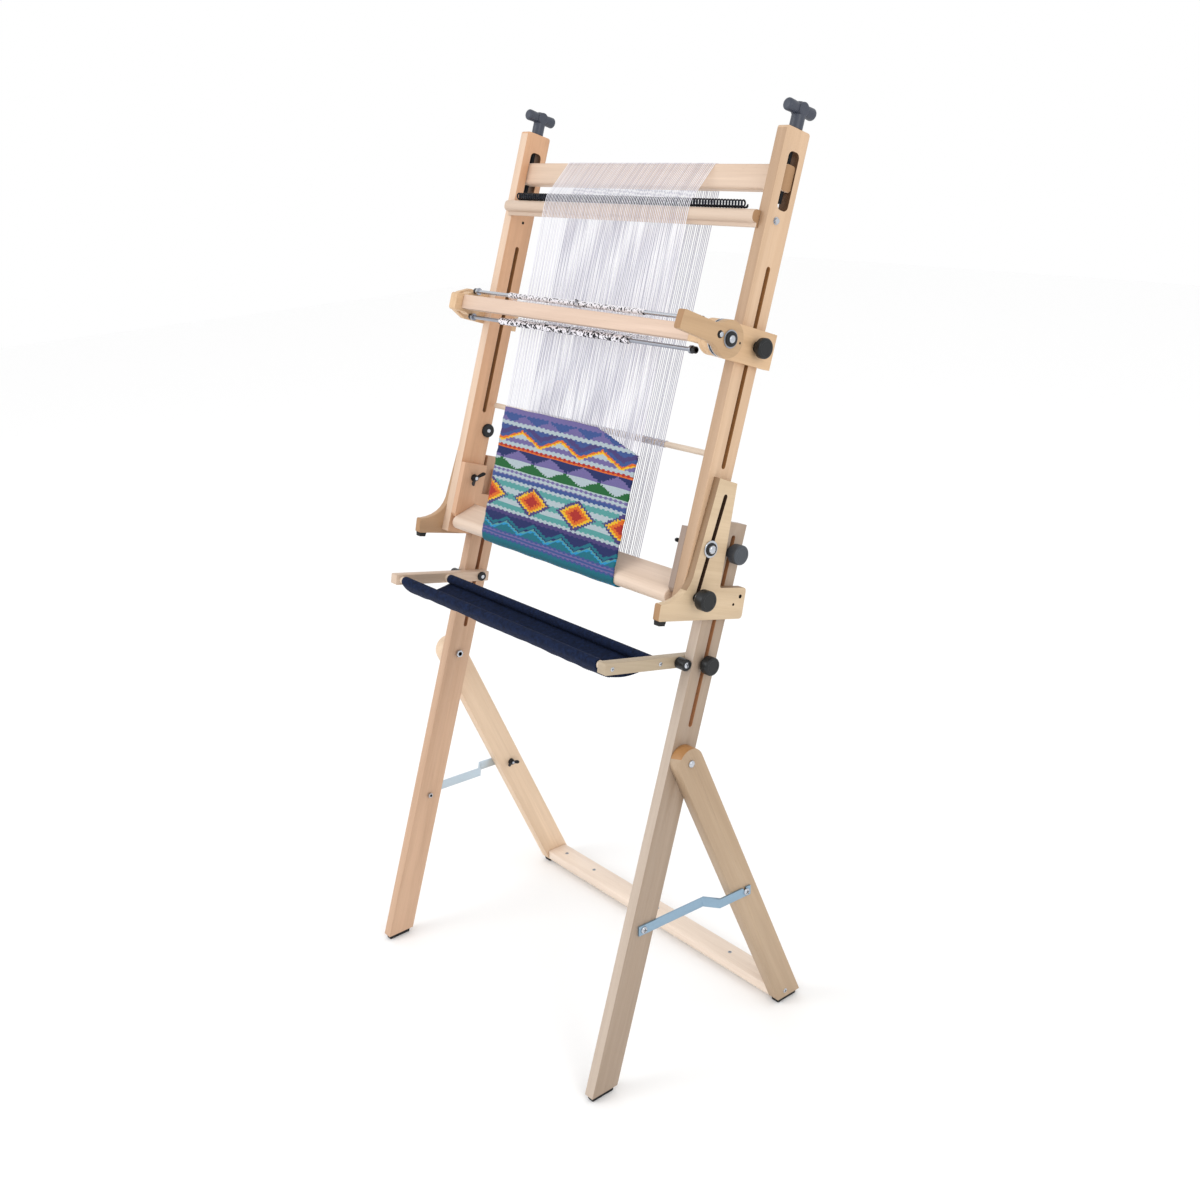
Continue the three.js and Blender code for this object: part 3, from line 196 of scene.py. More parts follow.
def new_group(name, inputs, outputs):
    """A shader node group with named inputs and outputs, and its two ends."""
    group = bpy.data.node_groups.new(name, "ShaderNodeTree")
    for direction, sockets in (("INPUT", inputs), ("OUTPUT", outputs)):
        for socket, kind in sockets.items():
            group.interface.new_socket(socket, in_out=direction, socket_type="NodeSocket" + kind)
    return group, group.nodes.new("NodeGroupInput"), group.nodes.new("NodeGroupOutput")


def patterned(made, pattern, strength, distance, vector=None, **settings):
    """Let a node group colour or gloss a material, and dent its surface by the group's Height."""
    tree = made.node_tree
    shader = tree.nodes["Principled BSDF"]
    group = tree.nodes.new("ShaderNodeGroup")
    group.node_tree = pattern
    for key, value in settings.items():
        group.inputs[key].default_value = value
    tree.links.new(vector or node_in(tree, "TexCoord").outputs["Object"], group.inputs["Vector"])
    bump = node_in(tree, "Bump", Strength=strength, Distance=distance)
    join(tree, (group, "Height", bump, "Height"), (bump, "Normal", shader, "Normal"))
    for output, entry in (("Color", "Base Color"), ("Roughness", "Roughness")):
        if output in group.outputs:
            join(tree, (group, output, shader, entry))


def maple_grain():
    """Maple: broad soft bands, fine streaks along Z and small flecks, from a grain-aligned vector."""
    sockets = {"Vector": "Vector", "Light": "Color", "Dark": "Color"}
    group, source, sink = new_group("MapleGrain", sockets, {"Color": "Color", "Height": "Float"})

    def noise(stretch, low, high, most, **settings):
        """Noise stretched along the grain, cut between two levels and weakened."""
        drawn = node_in(group, "VectorMath")
        drawn.operation = "MULTIPLY"
        drawn.inputs[1].default_value = stretch
        cloud = node_in(group, "TexNoise", Scale=1, **settings)
        level = node_in(group, "MapRange", From_Min=low, From_Max=high, To_Max=most)
        join(group, (source, "Vector", drawn, 0), (drawn, 0, cloud, "Vector"))
        join(group, (cloud, "Fac", level, "Value"))
        return level, "Result"

    def summed(a, b):
        total = node_in(group, "Math")
        join(group, (*a, total, 0), (*b, total, 1))
        return total, 0

    bands = noise((34, 34, 1.9), 0.3, 0.7, 0.62, Detail=3, Roughness=0.5, Distortion=0.8)
    streaks = noise((420, 420, 9), 0.32, 0.72, 0.3, Detail=4, Roughness=0.65)
    flecks = noise((900, 900, 60), 0.66, 0.76, 0.35, Detail=2, Roughness=0.5)
    mix = node_in(group, "Mix")
    mix.data_type = "RGBA"
    join(
        group,
        (*summed(summed(bands, streaks), flecks), mix, "Factor"),
        (source, "Light", mix, 6),
        (source, "Dark", mix, 7),
        (mix, 2, sink, "Color"),
        (*summed(streaks, flecks), sink, "Height"),
    )
    return group


GRAIN = maple_grain()
UP_BOARDS = (LEAN, 0, 0)
DARKER = (0.18, 0.22, 0.26)


def wood(name, code, grain_turn, roughness=0.5):
    """Maple in a middle colour, with its grain along the direction that the turn brings from Z."""
    made = material(name, code, roughness)
    middle = tone(code)[:3]
    tree = made.node_tree
    aim = node_in(tree, "Mapping", Rotation=grain_turn)
    shift = node_in(tree, "VectorMath")
    shift.operation = "MULTIPLY_ADD"
    shift.inputs[1].default_value = (3.1, 5.3, 7.7)
    join(
        tree,
        (node_in(tree, "TexCoord"), "Object", aim, "Vector"),
        (node_in(tree, "ObjectInfo"), "Random", shift, 0),
        (aim, "Vector", shift, 2),
    )
    light = (*[min(1, c * 1.08) for c in middle], 1)
    dark = (*[c * (1 - share) for c, share in zip(middle, DARKER)], 1)
    patterned(made, GRAIN, 0.12, 0.0004, shift.outputs[0], Light=light, Dark=dark)
    return made


def soften(node, width):
    """Round a CAD node's edges with modifiers, and leave its own mesh as it is."""
    piece = nodes[node]
    piece.data.polygons.foreach_set("use_smooth", [True] * len(piece.data.polygons))
    weld = piece.modifiers.new("weld", "WELD")
    weld.merge_threshold = 0.00002
    flat = piece.modifiers.new("flat", "DECIMATE")
    flat.decimate_type = "DISSOLVE"
    flat.angle_limit = math.radians(1)
    flat.delimit = {"MATERIAL"}
    bevel = piece.modifiers.new("bevel", "BEVEL")
    bevel.width = width
    bevel.segments = 2
    bevel.limit_method = "ANGLE"
    bevel.angle_limit = math.radians(32)
    bevel.harden_normals = True


def dress(node, look, edge):
    """A CAD node's finish and the width of its softened edges."""
    mesh = nodes[node].data
    mesh.materials.clear()
    mesh.materials.append(look)
    soften(node, edge)


BOARD_EDGE = 0.0012
TO_LEANING = LEANING.inverted()


def board(node, name, code, grain_turn):
    """A maple board's colour, grain and softened edges."""
    dress(node, wood(name, code, grain_turn), BOARD_EDGE)


def stain(node, look, zone, across=False):
    """Another finish on a board's narrow faces, or on its ends across X, in a zone of (n, s)."""
    mesh = nodes[node].data
    mesh.materials.append(look)
    index = len(mesh.materials) - 1
    for face in mesh.polygons:
        middle = TO_LEANING @ face.center
        if (abs(face.normal.x) > 0.5) == across and zone(middle.y, middle.z):
            face.material_index = index


def near(middle, half, low, high):
    """The zone of a slot or an edge: about a middle n, between two heights s."""
    return lambda n, s: abs(n - middle) < half and low < s < high


board("front_leg_left", "maple_leg_left", "c9a68a", UP_BOARDS)
# The right leg is painted darker than the left: painted shade on its dimly lit faces.
board("front_leg_right", "maple_leg_right", "a59280", UP_BOARDS)
LEG_SLOT_N = 26.5
# The slots' walls are painted dark brown: painted shade in the recess.
leg_slot_shade = wood("leg_slot_painted_shade", "a8764f", UP_BOARDS, roughness=0.7)
for side in SIDES:
    stain("front_leg_" + side, leg_slot_shade, near(LEG_SLOT_N, 4.4, 621, 927))
# The right leg's narrow front edge is painted paler: painted light on the lit front.
stain("front_leg_right", wood("leg_edge_painted_light", "c3b3a4", UP_BOARDS), near(0, 1.2, 0, 960))

# Rear legs: two shorter maple boards with round tops, hinged outside the front legs. The right
# one's round end shows brown end grain.
REAR_LEAN = math.radians(22.5)
HINGE = LEANING @ move(0, 24.8, 569.5) @ turn_x(LEAN)
REAR = HINGE @ turn_x(REAR_LEAN)
ALONG_REAR = (-REAR_LEAN, 0, 0)
board("rear_leg_left", "maple_rear_leg_left", "e4caae", ALONG_REAR)
# The right rear leg is painted darker than the left: painted shade on its dimly lit faces.
board("rear_leg_right", "maple_rear_leg_right", "b39b80", ALONG_REAR)
stain("rear_leg_right", wood("brown_round_end", "b0804e", ALONG_REAR), lambda n, s: s > 574)

# Rubber pads: black blocks with tapered sides, glued under the four leg ends so that the stand
# doesn't slide.


def cloudy_wear():
    """Faint clouds on metal and plastic, which change their gloss and dent their surface."""
    sockets = {"Vector": "Vector", "Glossiest": "Float", "Dullest": "Float"}
    group, source, sink = new_group("CloudyWear", sockets, {"Roughness": "Float", "Height": "Float"})
    cloud = node_in(group, "TexNoise", Scale=260, Detail=5)
    gloss = node_in(group, "MapRange")
    join(
        group,
        (source, "Vector", cloud, "Vector"),
        (cloud, "Fac", gloss, "Value"),
        (source, "Glossiest", gloss, "To Min"),
        (source, "Dullest", gloss, "To Max"),
        (gloss, "Result", sink, "Roughness"),
        (cloud, "Fac", sink, "Height"),
    )
    return group


WEAR = cloudy_wear()


def worked(name, colour, roughness, metallic=0.0, **sockets):
    """Metal, plastic or rubber with faint cloudy wear in its gloss and surface."""
    made = material(name, colour, roughness, metallic, **sockets)
    patterned(made, WEAR, 0.3, 0.00004, Glossiest=roughness * 0.8, Dullest=roughness * 1.3)
    return made


rubber = worked("black_rubber", "121212", 0.75)
for side in SIDES:
    dress("foot_pad_front_" + side, rubber, 0.0008)
    dress("foot_pad_rear_" + side, rubber, 0.0008)

# Rear crossbar: a flat maple board between the rear legs at the floor. Five cross-head screws
# are driven into it from above, and one through each rear leg into its ends.
ALONG_X = (0, math.pi / 2, 0)
steel = worked("bright_steel", "bfc3ca", 0.26, 1.0)
dull_steel = worked("zinc_steel", "a9adb3", 0.38, 1.0)
# Holes, slots and cross recesses are drawn in this near-black: painted shade in the recess.
hole_shade = material("painted_hole_shade", "1a120c", 0.9)
board("rear_crossbar", "maple_crossbar", "f1e0d0", ALONG_X)


def add_part(shape, part, look, at=None):
    """Put a closed part into the bmesh of its piece, with its look's number and its place."""
    bmesh.ops.recalc_face_normals(part, faces=part.faces)
    for face in part.faces:
        face.material_index = look
    if at:
        bmesh.ops.transform(part, matrix=at, verts=part.verts)
    scrap = bpy.data.meshes.new("part")
    part.to_mesh(scrap)
    part.free()
    shape.from_mesh(scrap)
    bpy.data.meshes.remove(scrap)


def turned(shape, profile, around=48, look=0, at=None):
    """A turned part: a profile of (x, radius), closed to the X axis at its ends and spun about it."""
    part = bmesh.new()
    closed = [(profile[0][0], 0), *profile, (profile[-1][0], 0)]
    points = [part.verts.new((x, r, 0)) for x, r in closed]
    line = points + [part.edges.new(ends) for ends in zip(points, points[1:])]
    about = {"axis": (1, 0, 0), "cent": (0, 0, 0), "angle": math.tau}
    bmesh.ops.spin(part, geom=line, steps=around, use_merge=True, **about)
    bmesh.ops.remove_doubles(part, verts=part.verts, dist=0.0005)
    add_part(shape, part, look, at)


def sawn(shape, outline, x0, x1, look=0, at=None):
    """A flat part: an outline in (y, z), extruded from one X to another."""
    part = bmesh.new()
    face = part.faces.new([part.verts.new((x0, y, z)) for y, z in outline])
    grown = bmesh.ops.extrude_face_region(part, geom=[face])["geom"]
    far = [v for v in grown if isinstance(v, bmesh.types.BMVert)]
    bmesh.ops.translate(part, vec=(x1 - x0, 0, 0), verts=far)
    add_part(shape, part, look, at)


HERE = Matrix.Identity(4)


def cross_slot(shape, half, long, x0, x1, look, at=HERE):
    """The two strokes of a cross-head, dark with painted shade in its recess."""
    stroke = [(-half, -long), (half, -long), (half, long), (-half, long)]
    for angle in (0, math.pi / 2):
        sawn(shape, stroke, x0, x1, look, at @ turn_x(angle))


def screw_head(shape, x, r, high=1.1, at=HERE):
    """A flat cross-head screw on a face at x, looking outwards: steel, with painted shade in its cross.
    """
    turned(shape, [(x - 0.3, r), (x + high * 0.45, r), (x + high, r * 0.7)], 28, at=at)
    cross_slot(shape, 0.35, r * 0.6, x + high - 0.2, x + high + 0.08, 1, at)


bar_low_at, bar_high_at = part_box("rear_crossbar")
bar_middle = (Vector(bar_low_at) + Vector(bar_high_at)) / 2
screws = bmesh.new()
for x in (-285, -195, 0, 200, 285):
    stand = Matrix.Translation((bar_middle.x + x / 1000, bar_middle.y, bar_high_at[2])) @ MM
    screw_head(screws, 0, 3.6, 0.8, stand @ Matrix.Rotation(-math.pi / 2, 4, "Y"))
finished("crossbar_screws", screws, HERE, [dull_steel, hole_shade], "rear_frame")
REAR_OUTER = 341.8
bar_from_corner = STANDING.inverted() @ Vector((0, bar_middle.y, bar_middle.z))
for side in SIDES:
    screw = bmesh.new()
    screw_head(screw, REAR_OUTER, 4.2)
    place = STANDING @ move(0, bar_from_corner.y - 4, bar_from_corner.z + 3)
    finished("rear_leg_screw", screw, place, [steel, hole_shade], "rear_frame", side=side)

# Hinge bolts: one carriage bolt through each pair of legs, with a domed head outside and a
# hexagonal nut inside.
INNER, OUTER = 300.5, 319.5


def dome(face, r, high, steps=5):
    """Profile points of a domed head on a face."""
    rise = [math.pi / 2 * i / steps for i in range(steps)]
    return [(face + high * math.sin(a), r * math.cos(a)) for a in rise] + [(face + high, 0)]


def nut(shape, x0, x1, across, look=0):
    """A hexagonal nut along X with chamfered rims, across its flats."""
    r = across / 2 / math.cos(math.pi / 6)
    turned(shape, [(x0, r * 0.9), (x0 + 0.5, r), (x1 - 0.5, r), (x1, r * 0.9)], 6, look)


for side in SIDES:
    bolt = bmesh.new()
    face = REAR_OUTER + 0.3
    turned(bolt, [(INNER - 5.3, 4), (face, 4), (face, 6), *dome(face + 0.5, 6, 3)])
    nut(bolt, INNER - 5.3, INNER - 0.3, 12.6)
    finished("hinge_bolt_detail", bolt, HINGE, [steel], "stand_front", "hinge_bolt", side)

# Braces: flat zinc-plated steel strips with one jog, which hold each pair of legs apart.
# One zinc plating on both braces, painted with a bright reflection on the left and a darker, bluer one on
# the right.
zinc_looks = {"left": ("zinc_bright_reflection", "c3d2dd"), "right": ("zinc_dim_reflection", "92acc0")}
for side, (name, code) in zinc_looks.items():
    dress("brace_" + side, worked(name, code, 0.42, 0.85), 0.0004)

# Brace bolts: a cross-head machine screw with a nut in each front leg, and one with a black wing
# nut inside each rear leg. The wings flare away from the leg.
dark_steel = worked("black_steel", "26282c", 0.42, 0.7)


def corner(x, r, radius, start, end, steps=5):
    """Profile points of a rounded corner about (x, r), in degrees from +x towards +r."""
    angles = [math.radians(start + (end - start) * i / steps) for i in range(steps + 1)]
    return [(x + radius * math.cos(a), r + radius * math.sin(a)) for a in angles]


def wings(shape, x, angles, look, reach=13.0, flare=4.0):
    """The two lobes of a wing nut, flared away from the piece that it clamps."""
    for degrees in angles:
        round_end = corner(0, reach - 3.4, 3.4, 0, 180, 6)
        outline = [(-2.2, 3), (2.2, 3), (3.4, reach - 4), *round_end, (-3.4, reach - 4)]
        lean = Matrix.Identity(4)
        lean[0][2], lean[0][3] = -flare / (reach - 3), 3 * flare / (reach - 3)
        sawn(shape, outline, x - 5.4, x - 2.6, look, turn_x(math.radians(degrees)) @ lean)


BRACE_PIVOT, BRACE_REAR_DOWN = (24.8, 288.5), 296
WING_ANGLES = {"left": (75, -120), "right": (20, -160)}
for side in SIDES:
    bolt = bmesh.new()
    face = OUTER + 3.6
    turned(bolt, [(INNER - 5.3, 2.5), (face, 2.5), (face, 6), *dome(face + 0.5, 6, 2.7)])
    nut(bolt, INNER - 5.3, INNER - 0.3, 8.6)
    cross_slot(bolt, 0.5, 3.4, face + 2.7, face + 3.25, 1)
    looks = [steel, hole_shade]
    place = LEANING @ move(0, *BRACE_PIVOT)
    finished("brace_pivot_detail", bolt, place, looks, "stand_front", "brace_pivot_bolt", side)
    bolt = bmesh.new()
    face = REAR_OUTER + 3.6
    inner = OUTER + 0.3
    turned(bolt, [(inner - 9, 2.5), (face, 2.5), (face, 6), *dome(face + 0.5, 6, 2.7)], look=2)
    turned(bolt, [(inner - 7.3, 4.5), (inner - 1.2, 6.6), (inner - 0.3, 6.6)])
    wings(bolt, inner - 2, WING_ANGLES[side], 0)
    cross_slot(bolt, 0.5, 3.4, face + 2.7, face + 3.25, 1)
    looks = [dark_steel, hole_shade, steel]
    place = REAR @ move(0, 0, -BRACE_REAR_DOWN)
    body = "brace_bolt_" + side
    finished("brace_wing_detail", bolt, place, looks, body, "brace_wing_bolt", side)

# Trough arms: a short maple board on each side, which carries the trough's two dowels. A small
# cross-head screw goes through it into each dowel's end.
TROUGH_PIVOT = LEANING @ move(0, LEG_SLOT_N, 723.6)
TROUGH = TROUGH_PIVOT @ turn_x(math.radians(7.3))
ALONG_N = (LEAN + math.pi / 2, 0, 0)
FRONT_DOWEL, REAR_DOWEL, DOWEL_R = -171.2, -75.2, 6.5
ARM_OUTER = 300.2
board("trough_arm_left", "maple_trough_left", "cbb4a0", ALONG_N)
board("trough_arm_right", "maple_trough_right", "b5a58d", ALONG_N)
for side in SIDES:
    screws = bmesh.new()
    screw_head(screws, ARM_OUTER, 3.4, at=move(0, FRONT_DOWEL + 1, 0))
    screw_head(screws, ARM_OUTER, 3.4, at=move(0, REAR_DOWEL + 1, 0))
    finished("trough_screws", screws, TROUGH, [steel, hole_shade], "trough", side=side)

# Trough knobs: black plastic knobs in the legs' slots, which hold the trough up. A round button
# with a metal centre ends the bolt inside the arm.
PLATE_INNER = 288.2
black = worked("black_plastic", "0e1114", 0.36, specular_ior_level=0.4)


def knob(shape, face, size, bolt_end, bolt, button=None):
    """A round knob with a stem on a face, from its bolt's inner end out to its domed head."""
    head, head_long, stem, stem_long = size
    start = face + 0.3
    low = start + stem_long
    end = low + head_long
    r = head / 2
    inside = [(bolt_end, bolt / 2)]
    if button:
        dia, long = button
        rounded = corner(bolt_end - long + 2, dia / 2 - 2, 2, 180, 90)
        inside = [*rounded, (bolt_end, dia / 2), (bolt_end, bolt / 2)]
    body = [(start, bolt / 2), (start, stem / 2), (low, stem / 2)]
    rim = [*corner(low + 1.5, r - 1.5, 1.5, 180, 90), *corner(end - 2.6, r - 2.6, 2.6, 90, 0)]
    turned(shape, [*inside, *body, *rim, (end, r - 4.5), (end - 0.5, r - 5.2)])


for side in SIDES:
    shape = bmesh.new()
    knob(shape, OUTER, (29.5, 14, 18, 5), 281.9, 7, (17, 4))
    turned(shape, [(276.9, 2.4), (277.2, 3.4), (277.6, 3)], 24, 1)
    looks, body = [black, steel], "trough_carrier"
    finished("trough_knob_detail", shape, TROUGH_PIVOT, looks, body, "trough_knob", side)

# Trough pegs: black rollers with a slotted screw, which rest on the legs and keep the trough from
# tipping down.
peg_low, peg_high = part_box("trough_peg_right")
start, end = (peg_low[0] - CORNER.x) * 1000, (peg_high[0] - CORNER.x) * 1000
peg_middle = TO_LEANING @ Vector(((peg_low[i] + peg_high[i]) / 2 for i in range(3)))
r = (peg_high[2] - peg_low[2]) * 500
for side in SIDES:
    peg = bmesh.new()
    rim = corner(end - 1.5, r - 1.5, 1.5, 90, 0)
    turned(peg, [(start, r - 0.8), (start + 0.8, r), *rim, (end, 5.8), (end - 1.2, 5.2)])
    turned(peg, [(end - 1.6, 4.7), (end - 0.7, 4.7), (end - 0.2, 3.9)], 32, 1)
    # The screw's slot is a dark stroke of painted shade.
    sawn(peg, [(-0.5, -3.4), (0.5, -3.4), (0.5, 3.4), (-0.5, 3.4)], end - 0.4, end - 0.1, 2, turn_x(0.6))
    place = LEANING @ move(0, peg_middle.y, peg_middle.z)
    looks = [black, steel, hole_shade]
    finished("trough_peg_detail", peg, place, looks, "trough", "trough_peg", side)

# Trough dowels: two round maple rods that the cloth hangs from.
maple_dowel = wood("maple_dowel", "dccbb8", ALONG_X)
DOWEL_HALF = 281.9
for which, n in (("front", FRONT_DOWEL), ("rear", REAR_DOWEL)):
    dowel = bmesh.new()
    turned(dowel, [(-DOWEL_HALF, DOWEL_R), (DOWEL_HALF, DOWEL_R)], 32, 0, move(0, n, 0))
    replaced = "trough_dowel_" + which
    finished("trough_dowel_detail_" + which, dowel, TROUGH, [maple_dowel], "trough", replaced)

# Trough sling: one sheet of navy canvas, turned round both dowels and hemmed with a row of
# stitches. It is made as one curved sheet with its sag, folds and creases.
WRAP = DOWEL_R + 0.3 + 0.7
SLING_HALF, SLING_SHIFT, SAG = 276.5, 4.3, 25.5
LEAVE, MEET = math.radians(216.9), math.radians(-65)
SLING_COLUMNS = 90


def mottled():
    """Cloth and wool: a colour that clouds over, and the soft bump of fibres."""
    sockets = {"Vector": "Vector", "Scale": "Float", "Dyed": "Color", "Low": "Float", "High": "Float"}
    group, source, sink = new_group("FibreMottle", sockets, {"Color": "Color", "Height": "Float"})
    cloud = node_in(group, "TexNoise", Detail=4, Roughness=0.7)
    depth = node_in(group, "MapRange", From_Min=0.3, From_Max=0.7)
    shade = node_in(group, "VectorMath")
    shade.operation = "SCALE"
    join(
        group,
        (source, "Vector", cloud, "Vector"),
        (source, "Scale", cloud, "Scale"),
        (cloud, "Fac", depth, "Value"),
        (source, "Low", depth, "To Min"),
        (source, "High", depth, "To Max"),
        (source, "Dyed", shade, 0),
        (depth, "Result", shade, "Scale"),
        (shade, 0, sink, "Color"),
        (cloud, "Fac", sink, "Height"),
    )
    return group


MOTTLE = mottled()


def woven(name, code, scale, depth, mottle, sheen=0.12):
    """Cloth or wool in one dye, with its mottling's scale, bump and strength."""
    gloss = {"specular_ior_level": 0.2, "sheen_weight": sheen, "sheen_roughness": 0.5}
    made = material(name, code, 0.92, **gloss)
    levels = {"Low": 1 - 2.2 * mottle, "High": 1 + mottle}
    patterned(made, MOTTLE, 0.5, depth, Scale=scale, Dyed=tone(code), **levels)
    return made


def arc(n, s, r, start, end, error=0.05):
    """Points of an arc, no further than the error from the true one."""
    count = max(1, math.ceil(abs(end - start) / (2 * math.acos(1 - error / r))))
    angles = [start + (end - start) * i / count for i in range(count + 1)]
    return [(n + r * math.cos(a), s + r * math.sin(a)) for a in angles]


def sling_line(u):
    """The sling's middle line in the trough's frame at a share u of its width."""
    start = Vector((FRONT_DOWEL + WRAP * math.cos(LEAVE), WRAP * math.sin(LEAVE)))
    end = Vector((REAR_DOWEL + WRAP * math.cos(MEET), WRAP * math.sin(MEET)))
    one, two = Vector((FRONT_DOWEL + 16, -SAG - 8.6)), Vector((FRONT_DOWEL + 58, -SAG - 0.2))
    points = arc(FRONT_DOWEL, 0, WRAP, 0.2 * math.pi, LEAVE, 0.02)
    count = 40
    for i in range(1, count):
        t = i / count
        p = start * (1 - t) ** 3 + one * (3 * t * (1 - t) ** 2) + two * (3 * t * t * (1 - t)) + end * t**3
        slack = math.sin(math.pi * t) ** 2
        fold = 1.1 * math.sin(5 * math.pi * u + 14 * t / 4) + 0.7 * math.sin(11 * math.pi * u + 1)
        fold += 0.4 * math.sin(27 * math.pi * u + 6 * t)
        crease = 0.6 * math.sin(23 * u + 9 * t) * math.sin(17 * u * math.pi + 5 * t)
        points.append((p.x, p.y - slack * (fold + crease)))
    points += arc(REAR_DOWEL, 0, WRAP, MEET, 1.35 * math.pi, 0.02)
    return points


def laid_out(columns, rows):
    """A grid sheet, with the column and row of each of its points."""
    shape = bmesh.new()
    bmesh.ops.create_grid(shape, x_segments=columns, y_segments=rows, size=1)
    spots = {v: (round((v.co.x + 1) / 2 * columns), round((v.co.y + 1) / 2 * rows)) for v in shape.verts}
    return shape, spots


def thicken(sheet, thickness):
    """Give a sheet its thickness, half to each side."""
    thick = sheet.modifiers.new("thick", "SOLIDIFY")
    thick.thickness = thickness
    thick.offset = 0


lines = [sling_line(c / SLING_COLUMNS) for c in range(SLING_COLUMNS + 1)]
sling_rows = len(lines[0])
shape, spots = laid_out(SLING_COLUMNS, sling_rows - 1)
for vert, (column, row) in spots.items():
    u = column / SLING_COLUMNS
    y, z = lines[column][row]
    short = 9 * max(0, 10 * u - 9) * min(1, max(0, (REAR_DOWEL - y) / (REAR_DOWEL - FRONT_DOWEL)))
    vert.co = (SLING_SHIFT + SLING_HALF * (2 * u - 1) - short, y, z)
denim = woven("navy_canvas", "111f3d", 150, 0.0012, 0.3, sheen=0.0)
replaced = "trough_sling"
sling = finished("trough_sling_cloth", shape, TROUGH, [denim], "trough", replaced, smooth=180)
thicken(sling, 0.0014)


def add_strands(shape, strands, sides, looks=1):
    """Round strands in a piece, each of points, a radius, a look's number and whether it is a loop."""
    data = bpy.data.curves.new("strands", "CURVE")
    data.dimensions = "3D"
    data.bevel_depth = 1
    data.bevel_resolution = sides // 2 - 2
    data.use_fill_caps = True
    for _ in range(looks):
        data.materials.append(None)
    for points, radius, look, loop in strands:
        spline = data.splines.new("POLY")
        spline.points.add(len(points) - 1)
        for knot, point in zip(spline.points, points):
            knot.co = (*point, 1)
            knot.radius = radius
        spline.use_cyclic_u = loop
        spline.material_index = look
    holder = bpy.data.objects.new("strands", data)
    scrap = bpy.data.meshes.new_from_object(holder)
    shape.from_mesh(scrap)
    bpy.data.objects.remove(holder)
    bpy.data.curves.remove(data)
    bpy.data.meshes.remove(scrap)


stitches = []
for where in (sling_rows // 2 - 16, sling_rows // 2 + 14):
    c = 0.4
    while c < SLING_COLUMNS - 1:
        marks = []
        for t in (0.0, 0.5, 1.0):
            k = c + 0.42 * t
            base = lines[int(k)][where]
            follow = lines[min(SLING_COLUMNS, int(k) + 1)][where]
            share = k - int(k)
            y = base[0] * (1 - share) + follow[0] * share
            z = base[1] * (1 - share) + follow[1] * share
            x = SLING_SHIFT + SLING_HALF * (2 * k / SLING_COLUMNS - 1)
            marks.append((x, y, z - 0.85 + 0.15 * (t - 0.5) ** 2))
        stitches.append((marks, 0.35, 0, False))
        c += 0.72
shape = bmesh.new()
add_strands(shape, stitches, 4)
stitch = material("stitch_thread", "33456b", 0.8)
hem = finished("sling_stitches", shape, TROUGH, [stitch], "trough", smooth=180)

# Beam plates: two slotted maple boards inside the legs, which carry the bottom beam and the whole
# loom. A black knob goes through each leg's slot into its plate.
grey_black = worked("grey_black_plastic", "3c4148", 0.36)
board("beam_plate_left", "maple_plate_left", "d2a888", UP_BOARDS)
# The right plate is painted much darker than the left: painted shade on the dim side.
board("beam_plate_right", "maple_plate_right", "9a877b", UP_BOARDS)
for side in SIDES:
    shape = bmesh.new()
    knob(shape, OUTER, (31, 16, 18, 9), PLATE_INNER - 3, 7)
    place = LEANING @ move(0, LEG_SLOT_N, 900)
    body = "stand_knob_" + side
    finished("stand_knob_detail", shape, place, [grey_black], body, "stand_knob", side)

# Table feet: L-shaped maple boards with a slotted stem, a toe and a heel with two holes. They slide
# on the uprights, and the loom stands on them when it is off the stand.
FOOT_TILT = math.radians(5.5)
FOOT = LEANING @ move(0, -103.3, 784.9) @ turn_x(FOOT_TILT)
FOOT_OUTER = 332.5
HEEL_HOLES = ((164.5, 35.5, 4.2), (152, 23, 3.3))
to_foot = FOOT.inverted() @ LEANING


def on_foot(n, s):
    """A point of the leaning frame in the table foot's own: (y, z)."""
    return (to_foot @ Vector((0, n, s))).yz


def in_foot_slot(n, s):
    y, z = on_foot(n, s)
    return 34 < z < 194 and abs(y - 70.2 - (z - 35.5) * math.tan(math.radians(10.35))) < 4.6


# The stem's slot walls are painted near-black: painted shade in the recess.
foot_slot_shade = wood("foot_slot_painted_shade", "3c2512", UP_BOARDS, roughness=0.75)
end_grain = wood("end_grain", "a98460", UP_BOARDS, roughness=0.7)
board("table_foot_left", "maple_foot_left", "b4916f", ALONG_N)
board("table_foot_right", "maple_foot_right", "ccb596", ALONG_N)
stem_edge = wood("shaded_stem_edge", "987c60", UP_BOARDS, roughness=0.65)
stain("table_foot_right", stem_edge, lambda n, s: on_foot(n, s)[1] > 46)
for side in SIDES:
    node = "table_foot_" + side
    stain(node, foot_slot_shade, in_foot_slot)
    stain(node, end_grain, lambda n, s: on_foot(n, s)[0] < 1.5)
    # The heel's two holes are dark discs of painted shade on the foot's faces.
    for y, z, r in HEEL_HOLES:
        stain(node, hole_shade, lambda n, s: math.dist(on_foot(n, s), (y, z)) < r)
    bumper = bmesh.new()
    sawn(bumper, [(3.2, -7), (14.8, -7), (16.5, 0), (2, 0)], 320.6, 331.8, 0, move(0, 0, -0.05))
    finished("foot_bumper", bumper, FOOT, [rubber], node, side=side)

